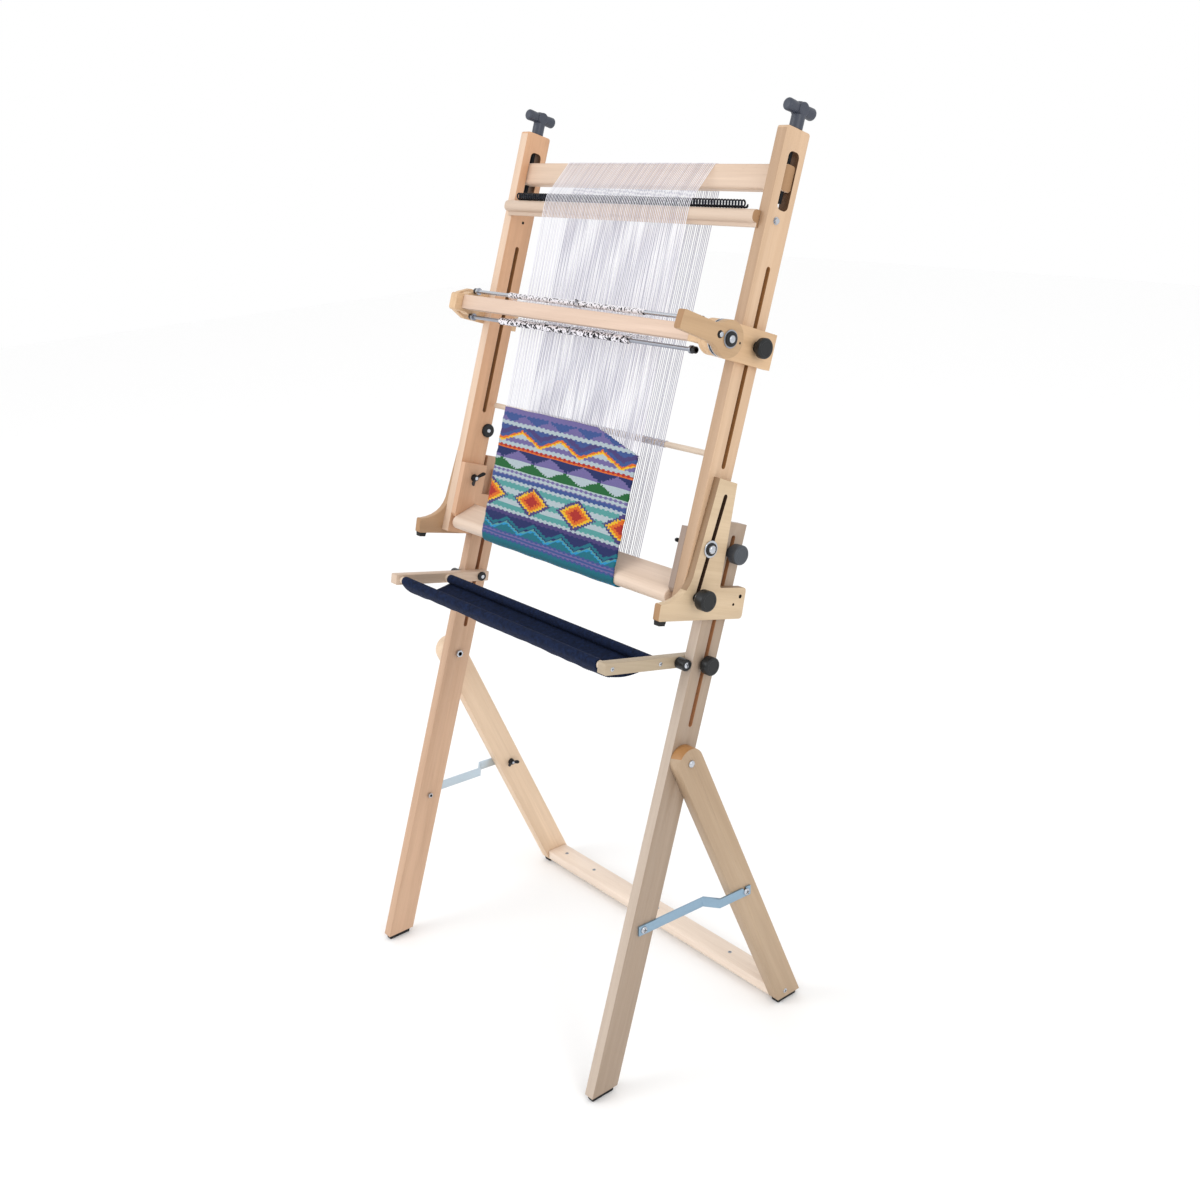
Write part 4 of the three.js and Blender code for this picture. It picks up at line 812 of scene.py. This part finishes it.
# Table feet's knob and bolts: a black knob with a steel collar on the right, a washered bolt in its
# place on the left, and above them the height bolts: a wide washer, a black ring and a domed head
# outside, with a black wing nut inside.
FOOT_KNOB = (-36.719, 826.975)
HEIGHT_BOLT = (-30.378, 901.707)
LOBES = {"left": ((-40, 140), 17.0, 9.0), "right": ((88, -92), 17.0, 9.0)}
face = FOOT_OUTER + 0.3
place = LEANING @ move(0, *FOOT_KNOB)
shape = bmesh.new()
knob(shape, FOOT_OUTER, (32, 16.5, 15, 11.5), INNER + 2, 6.4)
turned(shape, [(face + 9.9, 13.2), (face + 10.4, 14.2), (face + 11.5, 14.2)], look=1)
body = "foot_knob_right"
finished("foot_knob_detail", shape, place, [black, steel], body, body)
shape = bmesh.new()
washer = [(face, 9), (face + 1.5, 9)]
turned(shape, [(INNER + 2, 3.2), (face, 3.2), *washer, (face + 1.5, 5.4), *dome(face + 2.4, 5.4, 2.4)])
turn_over(shape)
finished("foot_bolt_detail", shape, place, [steel], "loom_frame", "foot_bolt_left")
for side in SIDES:
    shape = bmesh.new()
    inner = PLATE_INNER
    turned(shape, [(inner - 9, 3.2), (face + 1, 3.2)])
    turned(shape, [(face, 12.6), (face + 0.4, 13.2), (face + 1.2, 13.2), (face + 1.6, 12.7)])
    turned(shape, [(face + 1.6, 10.2), (face + 3.2, 9.8), (face + 3.6, 9)], look=1)
    turned(shape, [(face + 3.6, 6.6), *dome(face + 4.2, 6.6, 3.0)])
    turned(shape, [(inner - 8.3, 4.6), (inner - 1.4, 6.8), (inner - 0.3, 6.8)], look=2)
    angles, reach, flare = LOBES[side]
    wings(shape, inner - 2.6, angles, 2, reach, flare)
    place = LEANING @ move(0, *HEIGHT_BOLT)
    body = "height_bolt_" + side
    looks = [steel, black, dark_steel]
    finished("height_bolt_detail", shape, place, looks, body, "height_bolt", side)

# Uprights: two long maple boards with a slot for the shedding device and a window near the top
# for the top beam; the walls of both are painted dark brown as shade in the recess. Each has a
# black button with a metal centre, a small bolt and a hole drawn as a dark disc of painted shade.
UPRIGHT_N = -29
UPRIGHT_FRONT = -55.8
# Slot and window walls are painted dark brown: painted shade in the recess.
upright_slot_shade = wood("upright_slot_painted_shade", "9a6c3c", UP_BOARDS, roughness=0.7)
window_shade = wood("window_painted_shade", "5e4026", UP_BOARDS, roughness=0.7)
board("upright_left", "maple_upright_left", "d5a884", UP_BOARDS)
board("upright_right", "maple_upright_right", "d2b394", UP_BOARDS)
for side in SIDES:
    stain("upright_" + side, upright_slot_shade, near(UPRIGHT_N, 4.4, 1020, 1322))
    stain("upright_" + side, window_shade, near(UPRIGHT_N, 11.6, 1401, 1487))
BUTTON, UPRIGHT_BOLT, UPRIGHT_HOLE = (-13, 990), (-35.8, 1385.6), (-27.9, 1363.9)
facing_in = Matrix.Rotation(math.pi, 4, "Z")
# The uprights' narrow front edges: the left one painted paler as painted light, the right one darker as
# painted shade.
upright_edge = near(UPRIGHT_FRONT, 1.2, 780, 1500)
stain("upright_left", wood("upright_edge_painted_light", "d8bca4", UP_BOARDS), upright_edge)
stain("upright_right", wood("shaded_upright_edge", "b99a7d", UP_BOARDS), upright_edge)
for side in SIDES:
    button = bmesh.new()
    turned(button, [(-INNER, 12.4), *corner(-INNER + 2.2, 10.0, 2.4, 90, 0, 4)], 44)
    turned(button, [(-INNER + 4.4, 3.8), (-INNER + 5.4, 3.1)], 24, 1)
    place = LEANING @ move(0, *BUTTON)
    bmesh.ops.transform(button, matrix=facing_in, verts=button.verts)
    finished("upright_button", button, place, [black, steel], "loom_frame", side=side)
    bolt = bmesh.new()
    turned(bolt, [(OUTER, 5.6), (OUTER + 0.6, 5.6)], 32)
    nut(bolt, OUTER + 0.5, OUTER + 3.6, 8)
    place = LEANING @ move(0, *UPRIGHT_BOLT)
    finished("upright_bolt", bolt, place, [steel], "loom_frame", side=side)
    # The hole is a thin dark disc of painted shade.
    hole = bmesh.new()
    turned(hole, [(-INNER - 0.2, 2.6), (-INNER + 0.12, 2.6)], 24, 0, facing_in)
    place = LEANING @ move(0, *UPRIGHT_HOLE)
    finished("upright_hole", hole, place, [hole_shade], "loom_frame", side=side)

# Bottom beam: a wide maple board with a round nose, screwed between the beam plates. The weaving
# goes round its nose.
board("bottom_beam", "maple_bottom_beam", "e4cfbd", ALONG_X)

# Top beam: a maple board whose ends slide up and down in the uprights' windows, with bare end
# grain on both ends.
board("top_beam", "maple_top_beam", "ddc5b0", ALONG_X)
stain("top_beam", end_grain, lambda n, s: True, across=True)

# Tension handles: blue-black plastic T-handles on threaded rods, which stand in the uprights' tops
# and pull the top beam up.
blue_black = worked("blue_black_plastic", "3a3f4c", 0.4)
BASE_S, ROD_END_S, THREAD = 1518.3, 1412.0, 1.5
MID_S = BASE_S + 20.2 + 8.5
neck = [
    (BASE_S - 0.1, 10.0),
    *corner(BASE_S + 0.7, 9.55, 0.7, 180, 90, 3),
    (MID_S - 8.6, 10.25),
    (MID_S - 7.4, 9.25),
    (MID_S + 6, 9.25),
    *corner(MID_S + 6, 5.25, 4, 90, 12, 4),
    (MID_S + 10.2, 0),
]
rod = [(ROD_END_S, 3.4)]
s = ROD_END_S
while s < BASE_S - THREAD:
    rod += [(s + 0.5, 4.0), (s + 1.0, 4.0), (s + THREAD, 3.5)]
    s += THREAD
rod.append((BASE_S, 3.5))
low_end, high_end = corner(-24.6, 4.85, 4.4, 180, 90), corner(24.6, 4.85, 4.4, 90, 0)
grip = [*low_end, (-17, 9.0), (-9, 8.5), (9, 8.5), (17, 9.0), *high_end]
low_end, high_end = corner(-8.4, 8.2, 1.8, 180, 90, 3), corner(8.4, 8.2, 1.8, 90, 0, 3)
boss = [(-10.2, 7.2), *low_end, *high_end, (10.2, 7.2)]
standing_up = Matrix.Rotation(-math.pi / 2, 4, "Y")
for side, sign in (("left", -1), ("right", 1)):
    handle = bmesh.new()
    turned(handle, neck, 48, 0, standing_up)
    turned(handle, rod, 20, 1, standing_up)
    turned(handle, grip, 48, 0, move(0, 0, MID_S) @ Matrix.Rotation(math.pi / 2, 4, "Z"))
    turned(handle, boss, 48, 0, move(0, 0, MID_S))
    place = LEANING @ move(sign * 310, UPRIGHT_N, 0)
    body = "tension_handle_" + side
    looks = [blue_black, dark_steel]
    finished("tension_handle_detail_" + side, handle, place, looks, body, body)

# Front bar: a maple bar with a rounded front across the uprights, and end grain at its ends.
board("front_bar", "maple_front_bar", "cfb9a6", ALONG_X)
stain("front_bar", end_grain, lambda n, s: True, across=True)

# Warp spring: one long open coil of black wire on the front bar's top, with a short hook at each
# end. The warp threads lie between its turns.
BAR_LOW, BAR_HIGH, BAR_ROUND, BAR_NOSE = 1376.0, 19.0, 8.0, -63.6
SPRING_N, SPRING_REACH = -63.85, 6.5
SPRING_S = BAR_LOW + BAR_HIGH + 0.3 + SPRING_REACH
SPRING_HALF, COIL_R, WIRE_R, TURNS, TURN_STEPS = 279.0, 5.2, 1.4, 88, 18
coil_steps = TURNS * TURN_STEPS
wire = [(-SPRING_HALF - 1.5, 2.5, 4.4), (-SPRING_HALF - 0.8, 4.4, 2.6)]
for k in range(coil_steps + 1):
    a = math.tau * k / TURN_STEPS
    x = SPRING_HALF * (2 * k / coil_steps - 1)
    wire.append((x, COIL_R * math.cos(a), COIL_R * math.sin(a)))
wire += [(SPRING_HALF + 1, 4.4, -2.8), (SPRING_HALF + 1.6, 2.5, -4.6)]
coil = bmesh.new()
add_strands(coil, [(wire, WIRE_R, 0, False)], 8)
bmesh.ops.translate(coil, vec=(0, SPRING_N, SPRING_S), verts=coil.verts)
spring_wire = worked("spring_wire", "23262e", 0.26, 0.85)
looks, body = [spring_wire], "loom_frame"
finished("warp_spring_detail", coil, LEANING, looks, body, "warp_spring", smooth=180)

# Shedding device: maple brackets that slide on the uprights, each clamped by a black knob, with
# arms and a heddle bar that turn between them.
SHED = LEANING @ move(0, -106.5, 1202.8)
BRACKET_OUTER = 332.5
bracket_look = wood("maple_bracket", "d6b48e", ALONG_N)
for side in SIDES:
    dress("shed_bracket_" + side, bracket_look, BOARD_EDGE)
    dress("shed_arm_" + side, bracket_look, BOARD_EDGE)
    shape = bmesh.new()
    knob(shape, BRACKET_OUTER, (30.5, 10, 18, 8.3), INNER - 2, 7)
    place = LEANING @ move(0, UPRIGHT_N, 1204.1)
    body = "shed_knob_" + side
    finished("shed_knob_detail", shape, place, [black], body, "shed_knob", side)
board("heddle_bar", "maple_heddle_bar", "d8beab", ALONG_X)

# Shed pivots: bolts with a washer, a black ring and a bright hub. Between the right bracket and the
# handle stand two large bright discs on a black core.
rod_steel = worked("drawn_steel", "a0a4ad", 0.32, 1.0)
disc_in = BRACKET_OUTER + 0.3
handle_in = BRACKET_OUTER + 6.6
HANDLE_THICK = 13
for side in SIDES:
    right_side = side == "right"
    outer = (handle_in + HANDLE_THICK if right_side else BRACKET_OUTER) + 0.3
    pivot = bmesh.new()
    turned(pivot, [(292, 3.5), (outer + 1, 3.5)])
    if right_side:
        for x0, x1, r in ((disc_in, disc_in + 1.5, 27), (disc_in + 4.5, disc_in + 6, 27)):
            turned(pivot, [(x0, r - 0.3), (x0 + 0.3, r), (x1 - 0.3, r), (x1, r - 0.3)], 72)
        turned(pivot, [(disc_in + 1.5, 24), (disc_in + 4.5, 24)], 64, 1)
    else:
        turned(pivot, [(309.3, 11), (OUTER, 11)])
    turned(pivot, [(outer, 12.8), (outer + 0.4, 13.2), (outer + 1.2, 13.2), (outer + 1.6, 12.8)], look=3)
    ring = [(outer + 1.6, 11.2), (outer + 3.6, 10.6), (outer + 4.0, 9.8)]
    turned(pivot, ring, look=2)
    turned(pivot, [(outer + 4, 5.6), *dome(outer + 4.4, 5.6, 1.6)])
    looks = [steel, dark_steel, black, rod_steel]
    finished("shed_pivot_detail", pivot, SHED, looks, "heddle_frame", "shed_pivot", side)

# Handle: a maple lever outside the right bracket, which turns the heddle bar. A screw in a slot
# and two small pins fix it; the slot is a dark disc of painted shade, and the pins are dark dots.
HANDLE = SHED @ turn_x(math.radians(-4.9))
board("shed_handle", "maple_handle", "bd9d79", ALONG_N)
to_handle = HANDLE.inverted() @ LEANING
handle_front = min((HANDLE.inverted() @ v.co).y for v in nodes["shed_handle"].data.vertices)
stain("shed_handle", end_grain, lambda n, s: (to_handle @ Vector((0, n, s))).y < handle_front + 2)
handle_face = handle_in + HANDLE_THICK
screws = bmesh.new()
turned(screws, [(handle_face - 0.6, 5.6), (handle_face + 0.12, 5.6)], 36, 1, move(0, -21.5, 0.6))
turned(screws, [(handle_face, 3.9), *dome(handle_face + 0.9, 3.9, 1.3)], 32, 0, move(0, -19.2, 1.0))
for y in (21, -21):
    turned(screws, [(handle_face - 0.6, 1.7), (handle_face + 0.15, 1.7)], 20, 1, move(0, y, 0))
finished("handle_screws", screws, HANDLE, [steel, hole_shade], "heddle_frame")

# Heddle rods and string heddles: two steel rods with collars and black caps, wound with knotted
# cotton loops. A thin string goes from each loop back to its warp thread.
WARP_LEFT, WARP_RIGHT = -190.0, 172.0
THREADS = 90
PITCH = (WARP_RIGHT - WARP_LEFT) / THREADS
HALF_ROD = 289.7
heddle_cord = material("heddle_cord", "f3f1f4", 0.8)


def cotton_with_painted_gaps(name, pale, dark):
    """Knotted cotton, with painted shade for the dark gaps between its windings."""
    made = material(name, pale, 0.85, specular_ior_level=0.2)
    tree = made.node_tree
    cloud = node_in(tree, "TexNoise", Scale=260, Detail=2)
    ramp = node_in(tree, "ValToRGB")
    for stop, at, code in zip(ramp.color_ramp.elements, (0.44, 0.52), (dark, pale)):
        stop.position = at
        stop.color = tone(code)
    join(
        tree,
        (node_in(tree, "TexCoord"), "Object", cloud, "Vector"),
        (cloud, "Fac", ramp, "Fac"),
        (ramp, "Color", tree.nodes["Principled BSDF"], "Base Color"),
    )
    return made


# Cotton speckled near-black: painted shade between the loops' windings.
shaded_heddle_cotton = cotton_with_painted_gaps("shaded_heddle_cotton", "ebe8ee", "17151b")
CAP_AT, COLLAR_AT = HALF_ROD - 8, HALF_ROD - 12
cap = [(CAP_AT, 5), (CAP_AT + 0.5, 5.25), *corner(HALF_ROD - 1.2, 4.05, 1.2, 90, 0, 3)]
collar = [(COLLAR_AT, 6), (COLLAR_AT + 0.3, 6.25), (CAP_AT - 0.3, 6.25), (CAP_AT, 6)]
WOUND = {"upper": (22.3, -186, 162, 4.3, steel, 2), "lower": (-22.3, -197, 142, 5.7, rod_steel, 3)}
for which, (up, low_x, high_x, core, metal, string_look) in WOUND.items():
    shape = bmesh.new()
    turned(shape, [(-HALF_ROD, 3.2), (HALF_ROD, 3.2)], 28)
    for flip in (Matrix.Rotation(math.pi, 4, "Z"), None):
        turned(shape, cap, 28, 1, flip)
        turned(shape, collar, 32, 0, flip)
    # A sleeve of that cotton under the loops: a dark band that stands for the shade between windings.
    turned(shape, [(low_x, core), (high_x, core)], 24, 3)
    strands = []
    for wind in range(3):
        knot = []
        for k in range(8):
            y, z = -2 + 6.4 * math.cos(0.9 * k + 2 * wind), 5.8 * math.sin(0.9 * k + wind)
            knot.append((1 + 4.5 * math.sin(2.1 * k + wind), y, z))
        strands.append((knot, 0.75, 3 if wind else 0, False))
    for i in range(THREADS):
        x = WARP_LEFT + (i + 0.5) * PITCH
        tied = low_x < x < high_x
        skew = random.uniform(-1.5, 1.5)
        for twist in range(random.choice((1, 2)) if tied else 0):
            ring = []
            r = 4.0 + 0.4 * twist + random.uniform(0, 0.3)
            for k in range(10):
                a = math.tau * k / 10
                slant = 1.5 * math.sin(a + 2 * twist) + 0.6 * skew * math.cos(a)
                ring.append((x + twist * 1.9 - 0.9 + slant, r * math.cos(a), r * math.sin(a)))
            strands.append((ring, 0.5, 2, True))
        fall = -up * 0.55 + random.uniform(-1, 1)
        string = [(x, 4.2, -0.24 * up), (x, 16, fall * 0.6), (x, 30, fall)]
        strands.append((string, 0.25, string_look, False))
    add_strands(shape, strands, 6, looks=4)
    looks = [metal, black, heddle_cord, shaded_heddle_cotton]
    place = SHED @ move(0, 0, up)
    replaced = "heddle_rod_" + which
    finished("heddle_rod_detail_" + which, shape, place, looks, "heddle_frame", replaced)

# Warp: round cotton threads in two layers, spaced by the spring. The front layer goes from the top
# beam over the spring and the front bar down to the weaving, and the back layer comes down behind
# to the bottom beam. A route is a list of (n, s).
SHEET_RISE = 0.8
WEAVE_RISE = 1.8
BEAM_TILT = math.radians(36.2)
NOSE = (-46.5, 818.0)
NOSE_ROUND = 12.0
BEAM_BACK = 46.0
BEAM_BACK_LOW = BEAM_BACK - 2 * NOSE_ROUND * math.tan(BEAM_TILT)
BEAM_MID, BEAM_HIGH, BEAM_DEEP, BEAM_ROUND = 1448.5, 38.0, 21.0, 5.0


def ply_twist():
    """The slant of a cotton thread's ply, as a height."""
    group, source, sink = new_group("PlyTwist", {"Vector": "Vector"}, {"Height": "Float"})
    wave = node_in(group, "TexWave", Scale=700, Distortion=1.5)
    wave.wave_type = "BANDS"
    wave.bands_direction = "DIAGONAL"
    join(group, (source, "Vector", wave, "Vector"), (wave, "Fac", sink, "Height"))
    return group


TWIST = ply_twist()


def twisted(name, code):
    """Cotton thread in one tint, with the slant of its ply."""
    made = material(name, code, 0.85, specular_ior_level=0.2)
    patterned(made, TWIST, 0.4, 0.0002)
    return made


FRONT_TINTS = (("pale", "f2f1f8"), ("grey", "e9e8f0"), ("dim", "dfdee8"))
BACK_TINTS = (("pale", "cfcfda"), ("grey", "c6c6d2"), ("dim", "bcbcca"))
front_cottons = [twisted("warp_cotton_" + tint, code) for tint, code in FRONT_TINTS]
back_cottons = [twisted("warp_shade_" + tint, code) for tint, code in BACK_TINTS]


def belt(circles, start, end):
    """The taut route round circles (n, s, r), all on one side of it, between two contact angles."""
    way = 1 if end > start else -1
    points = []
    angle = start
    for i, (n, s, r) in enumerate(circles):
        leave = end
        if i + 1 < len(circles):
            n2, s2, r2 = circles[i + 1]
            leave = math.atan2(s2 - s, n2 - n) - way * math.acos((r - r2) / math.hypot(s2 - s, n2 - n))
            leave += 2 * math.pi * round((angle - leave) / (2 * math.pi))
        points += arc(n, s, r, angle, leave)
        angle = leave
    return points


def from_beam(a, b):
    return (
        NOSE[0] + a * math.cos(BEAM_TILT) - b * math.sin(BEAM_TILT),
        NOSE[1] + a * math.sin(BEAM_TILT) + b * math.cos(BEAM_TILT),
    )


BEAM_TOP = BEAM_MID + BEAM_HIGH / 2
front_corner = (UPRIGHT_N - BEAM_DEEP / 2 + BEAM_ROUND, BEAM_TOP - BEAM_ROUND, BEAM_ROUND + SHEET_RISE)
back_corner = (UPRIGHT_N + BEAM_DEEP / 2 - BEAM_ROUND, BEAM_TOP - BEAM_ROUND, BEAM_ROUND + SHEET_RISE)
low_corner = (back_corner[0], BEAM_TOP - BEAM_HIGH + BEAM_ROUND, BEAM_ROUND + SHEET_RISE)
over_spring = (SPRING_N, SPRING_S, SPRING_REACH + SHEET_RISE)
bar_top = (BAR_NOSE, BAR_LOW + BAR_HIGH - BAR_ROUND, BAR_ROUND + SHEET_RISE)
bar_low = (BAR_NOSE, BAR_LOW + BAR_ROUND, BAR_ROUND + SHEET_RISE)
nose = (NOSE[0], NOSE[1], NOSE_ROUND + WEAVE_RISE)
under_angle = -math.pi / 2 + BEAM_TILT
meet_under = BEAM_BACK_LOW / 2
taut = belt([bar_low, nose], math.pi, math.pi + 0.5)
taut_end = next(i for i, p in enumerate(taut) if p[1] < BAR_LOW - 20)
taut_from, taut_to = taut[taut_end - 1], taut[taut_end]


def on_taut(s):
    share = (s - taut_from[1]) / (taut_to[1] - taut_from[1])
    return (taut_from[0] + share * (taut_to[0] - taut_from[0]), s)


WEAVE_TOP, WEAVE_STEP_TOP, WEAVE_STEP_AT = 1041.0, 1011.0, 60.0


def weave_top(x):
    share = min(1, max(0, (x - WEAVE_STEP_AT) / (WARP_RIGHT - WEAVE_STEP_AT)))
    return WEAVE_TOP - share * (WEAVE_TOP - WEAVE_STEP_TOP)


front_route = belt([front_corner, over_spring, bar_top, bar_low, nose], math.pi / 2, math.pi + 0.5)
front_route = [(UPRIGHT_N, BEAM_TOP + SHEET_RISE), *[p for p in front_route if p[1] > BAR_LOW]]
back_circles = [back_corner, low_corner]
for a, b in ((BEAM_BACK, NOSE_ROUND), (BEAM_BACK_LOW, -NOSE_ROUND), (meet_under + 2, -NOSE_ROUND)):
    back_circles.append((*from_beam(a, b), SHEET_RISE))
back_route = [(UPRIGHT_N + 1, BEAM_TOP + SHEET_RISE), *belt(back_circles, math.pi / 2, under_angle)]
weave_under = (*from_beam(meet_under - 2, -NOSE_ROUND), WEAVE_RISE)
weave_route = belt([bar_low, nose, weave_under], math.pi, under_angle + 2 * math.pi)
weave_route = [on_taut(WEAVE_TOP), *[p for p in weave_route if p[1] < BAR_LOW - 30]]


def refined(route, step):
    """The route with points no further apart than the step."""
    points = [route[0]]
    for a, b in zip(route, route[1:]):
        count = max(1, math.ceil(math.dist(a, b) / step))
        for i in range(1, count + 1):
            points.append((a[0] + (b[0] - a[0]) * i / count, a[1] + (b[1] - a[1]) * i / count))
    return points


front_strands, back_strands = [], []
for i in range(THREADS):
    x = WARP_LEFT + (i + 0.5) * PITCH
    paired = 0.75 if i % 2 else -0.75
    drift = random.uniform(-0.3, 0.3) - paired
    lift = random.uniform(-0.15, 0.15)
    bottom = on_taut(weave_top(x) - 3)
    points = []
    for n, s in refined([*front_route, bottom], 60):
        share = min(1, max(0, (BAR_LOW - s) / (BAR_LOW - bottom[1])))
        points.append((x + drift * math.sin(math.pi * share), n + lift, s))
    front_strands.append((points, 0.62, random.choice((0, 0, 1, 2)), False))
    drift = random.uniform(-0.9, 0.9)
    points = []
    for j, (n, s) in enumerate(refined(back_route, 90)):
        points.append((x + drift * math.sin(math.pi * j / (len(back_route) + 9)), n, s))
    back_strands.append((points, 0.68, random.choice((0, 1, 1, 2)), False))
layers = {"front": (front_strands, front_cottons), "back": (back_strands, back_cottons)}
for layer, (strands, looks) in layers.items():
    shape = bmesh.new()
    add_strands(shape, strands, 6, looks=3)
    warp = finished("warp_threads_" + layer, shape, LEANING, looks, None, smooth=180)
    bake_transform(warp)
    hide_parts("warp_" + layer)

# Turn-around rod: a round maple rod behind the weaving, with a cotton loop for each pair of threads.
rod_low, rod_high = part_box("turnaround_rod")
rod_middle = TO_LEANING @ Vector(((rod_low[i] + rod_high[i]) / 2 for i in range(3)))
ROD_R = 4.75
LOOP_R = ROD_R + 0.85
loops = []
for i in range(THREADS // 2):
    x = WARP_LEFT + (2 * i + 1) * PITCH
    ring = []
    for k in range(12):
        a = math.tau * k / 12
        y, z = LOOP_R * math.cos(a), LOOP_R * math.sin(a)
        ring.append((x + 1.6 * math.sin(a), rod_middle.y + y, rod_middle.z + z))
    loops.append((ring, 0.62, 0, True))
shape = bmesh.new()
add_strands(shape, loops, 6)
finished("warp_loops", shape, LEANING, [back_cottons[0]], "loom_frame", smooth=180)
shape = bmesh.new()
turned(shape, [(-280, 4.2), (-279.4, ROD_R), (279.4, ROD_R), (280, 4.2)], 24, 0, move(*rod_middle))
finished("turnaround_rod_detail", shape, LEANING, [maple_dowel], "loom_frame", "turnaround_rod")

# Weaving: wool in bands of traditional geometric motifs, counted in warps across and in heights
# above the bottom beam's nose. It is stretched on the warp, round the nose and under the beam.
YARNS = {
    "violet": "6b6194",
    "deep_violet": "453c70",
    "mist": "a9b7bd",
    "blue": "3a5088",
    "navy": "202a5c",
    "sky": "288bc0",
    "teal": "18697a",
    "sea": "529492",
    "green": "1d5e31",
    "red": "a32a24",
    "orange": "d26522",
    "yellow": "e0b12a",
}
yarn_names = list(YARNS)
yarns = [woven("yarn_" + name, code, 900, 0.0006, 0.12) for name, code in YARNS.items()]
WEFT = 1.55
ENDS = 114
END_PITCH = (WARP_RIGHT - WARP_LEFT) / ENDS


def weave_yarn(c, h):
    """The yarn at warp c, and height h in millimetres above the beam's nose."""
    if h < 2:
        return "teal" if (int(h * 0.5) + 60) % 9 else "sky"
    if h < 16:
        return "violet" if 5 < h < 7 or 10 < h < 12 else "blue"
    if h < 44:
        wave = abs((c + 4) % 24 - 12)
        level = (h - 16) / 2.4 - wave * 0.5
        return ("teal", "sky", "sea", "navy", "teal", "teal", "navy")[int(max(0, min(6, level + 1.5)))]
    if h < 50:
        return "deep_violet"
    if h < 104:
        reach = 27 - abs(h - 77)
        step = abs((c + 19) % 38 - 19) * 1.55
        depth = (int(reach / 3.2) * 3.2) - step
        if depth > 15:
            return "red"
        if depth > 9:
            return "orange"
        if depth > 5:
            return "yellow"
        if depth > 0:
            return "deep_violet"
        return "mist" if int(h / 9) % 2 else "sea"
    if h < 110:
        return "blue"
    if h < 122:
        return "violet" if int(h / 4) % 2 else "mist"
    if h < 156:
        step = int(abs((c + 9) % 28 - 14) / 2) * 2 * 1.15
        rise = h - 122
        if rise < 17 - step:
            return "green"
        if rise > 18 + step and rise < 34:
            return "navy"
        return "mist" if rise < 17 else "violet"
    if h < 162:
        return "orange" if h < 158.5 else "red"
    if h < 196:
        wave = abs((c + 15) % 34 - 17) * 1.1
        level = h - 162 - wave
        if 4 < level < 10:
            return "yellow" if level < 7 else "orange"
        if level >= 10:
            return "blue" if int(level / 8) % 2 else "deep_violet"
        return "violet" if int(h / 8) % 2 else "mist"
    if h < 202:
        return "mist"
    step = int(abs((c + 3) % 22 - 11) / 2) * 2
    return "blue" if h - 202 > step * 1.2 and h < 216 else "violet"


def even_steps(route, step):
    """Points at even steps of length down a route, as (n, s, length so far), and the whole length."""
    lengths = [0.0]
    for a, b in zip(route, route[1:]):
        lengths.append(lengths[-1] + math.dist(a, b))
    total = lengths[-1]
    count = int(total / step)
    out = []
    j = 0
    for i in range(count + 1):
        want = total * i / count
        while j < len(lengths) - 2 and lengths[j + 1] < want:
            j += 1
        share = (want - lengths[j]) / max(1e-9, lengths[j + 1] - lengths[j])
        a, b = route[j], route[j + 1]
        out.append((a[0] + (b[0] - a[0]) * share, a[1] + (b[1] - a[1]) * share, want))
    return out, total


weave_rows, weave_long = even_steps(weave_route, WEFT)
straight = math.dist(on_taut(WEAVE_TOP), on_taut(NOSE[1]))
shape, spots = laid_out(ENDS, len(weave_rows) - 1)
for vert, (c, row) in spots.items():
    n, s, down = weave_rows[row]
    before = weave_rows[max(0, row - 1)]
    after = weave_rows[min(len(weave_rows) - 1, row + 1)]
    run = Vector((after[0] - before[0], after[1] - before[1])).normalized()
    x = WARP_LEFT + c * END_PITCH - 4 * min(1, down / 70) * max(0, 2 * c / ENDS - 1) ** 2
    if c in (0, ENDS):
        x += 0.7 * math.sin(row * 0.31 + c) + 0.4 * math.sin(row * 0.83)
    puff = 0.26 if (row + c) % 2 else -0.2
    waver = 0.35 * math.sin(c * 0.23 + row * 0.05)
    vert.co = (x, n + run.y * puff, s - run.x * puff + waver)
bare = []
for face in shape.faces:
    row = min(spots[vert][1] for vert in face.verts)
    c = min(spots[vert][0] for vert in face.verts)
    height = straight - weave_rows[row][2]
    if NOSE[1] + height > weave_top(WARP_LEFT + (c + 0.5) * END_PITCH) + 0.8:
        bare.append(face)
    ragged = height + (1.2 if (c // 2 + row // 3) % 2 else 0)
    face.material_index = yarn_names.index(weave_yarn(c, ragged))
bmesh.ops.delete(shape, geom=bare, context="FACES")
body = "loom_frame"
tapestry = finished("woven_tapestry", shape, LEANING, yarns, body, "tapestry", smooth=180)
thicken(tapestry, 0.0026)
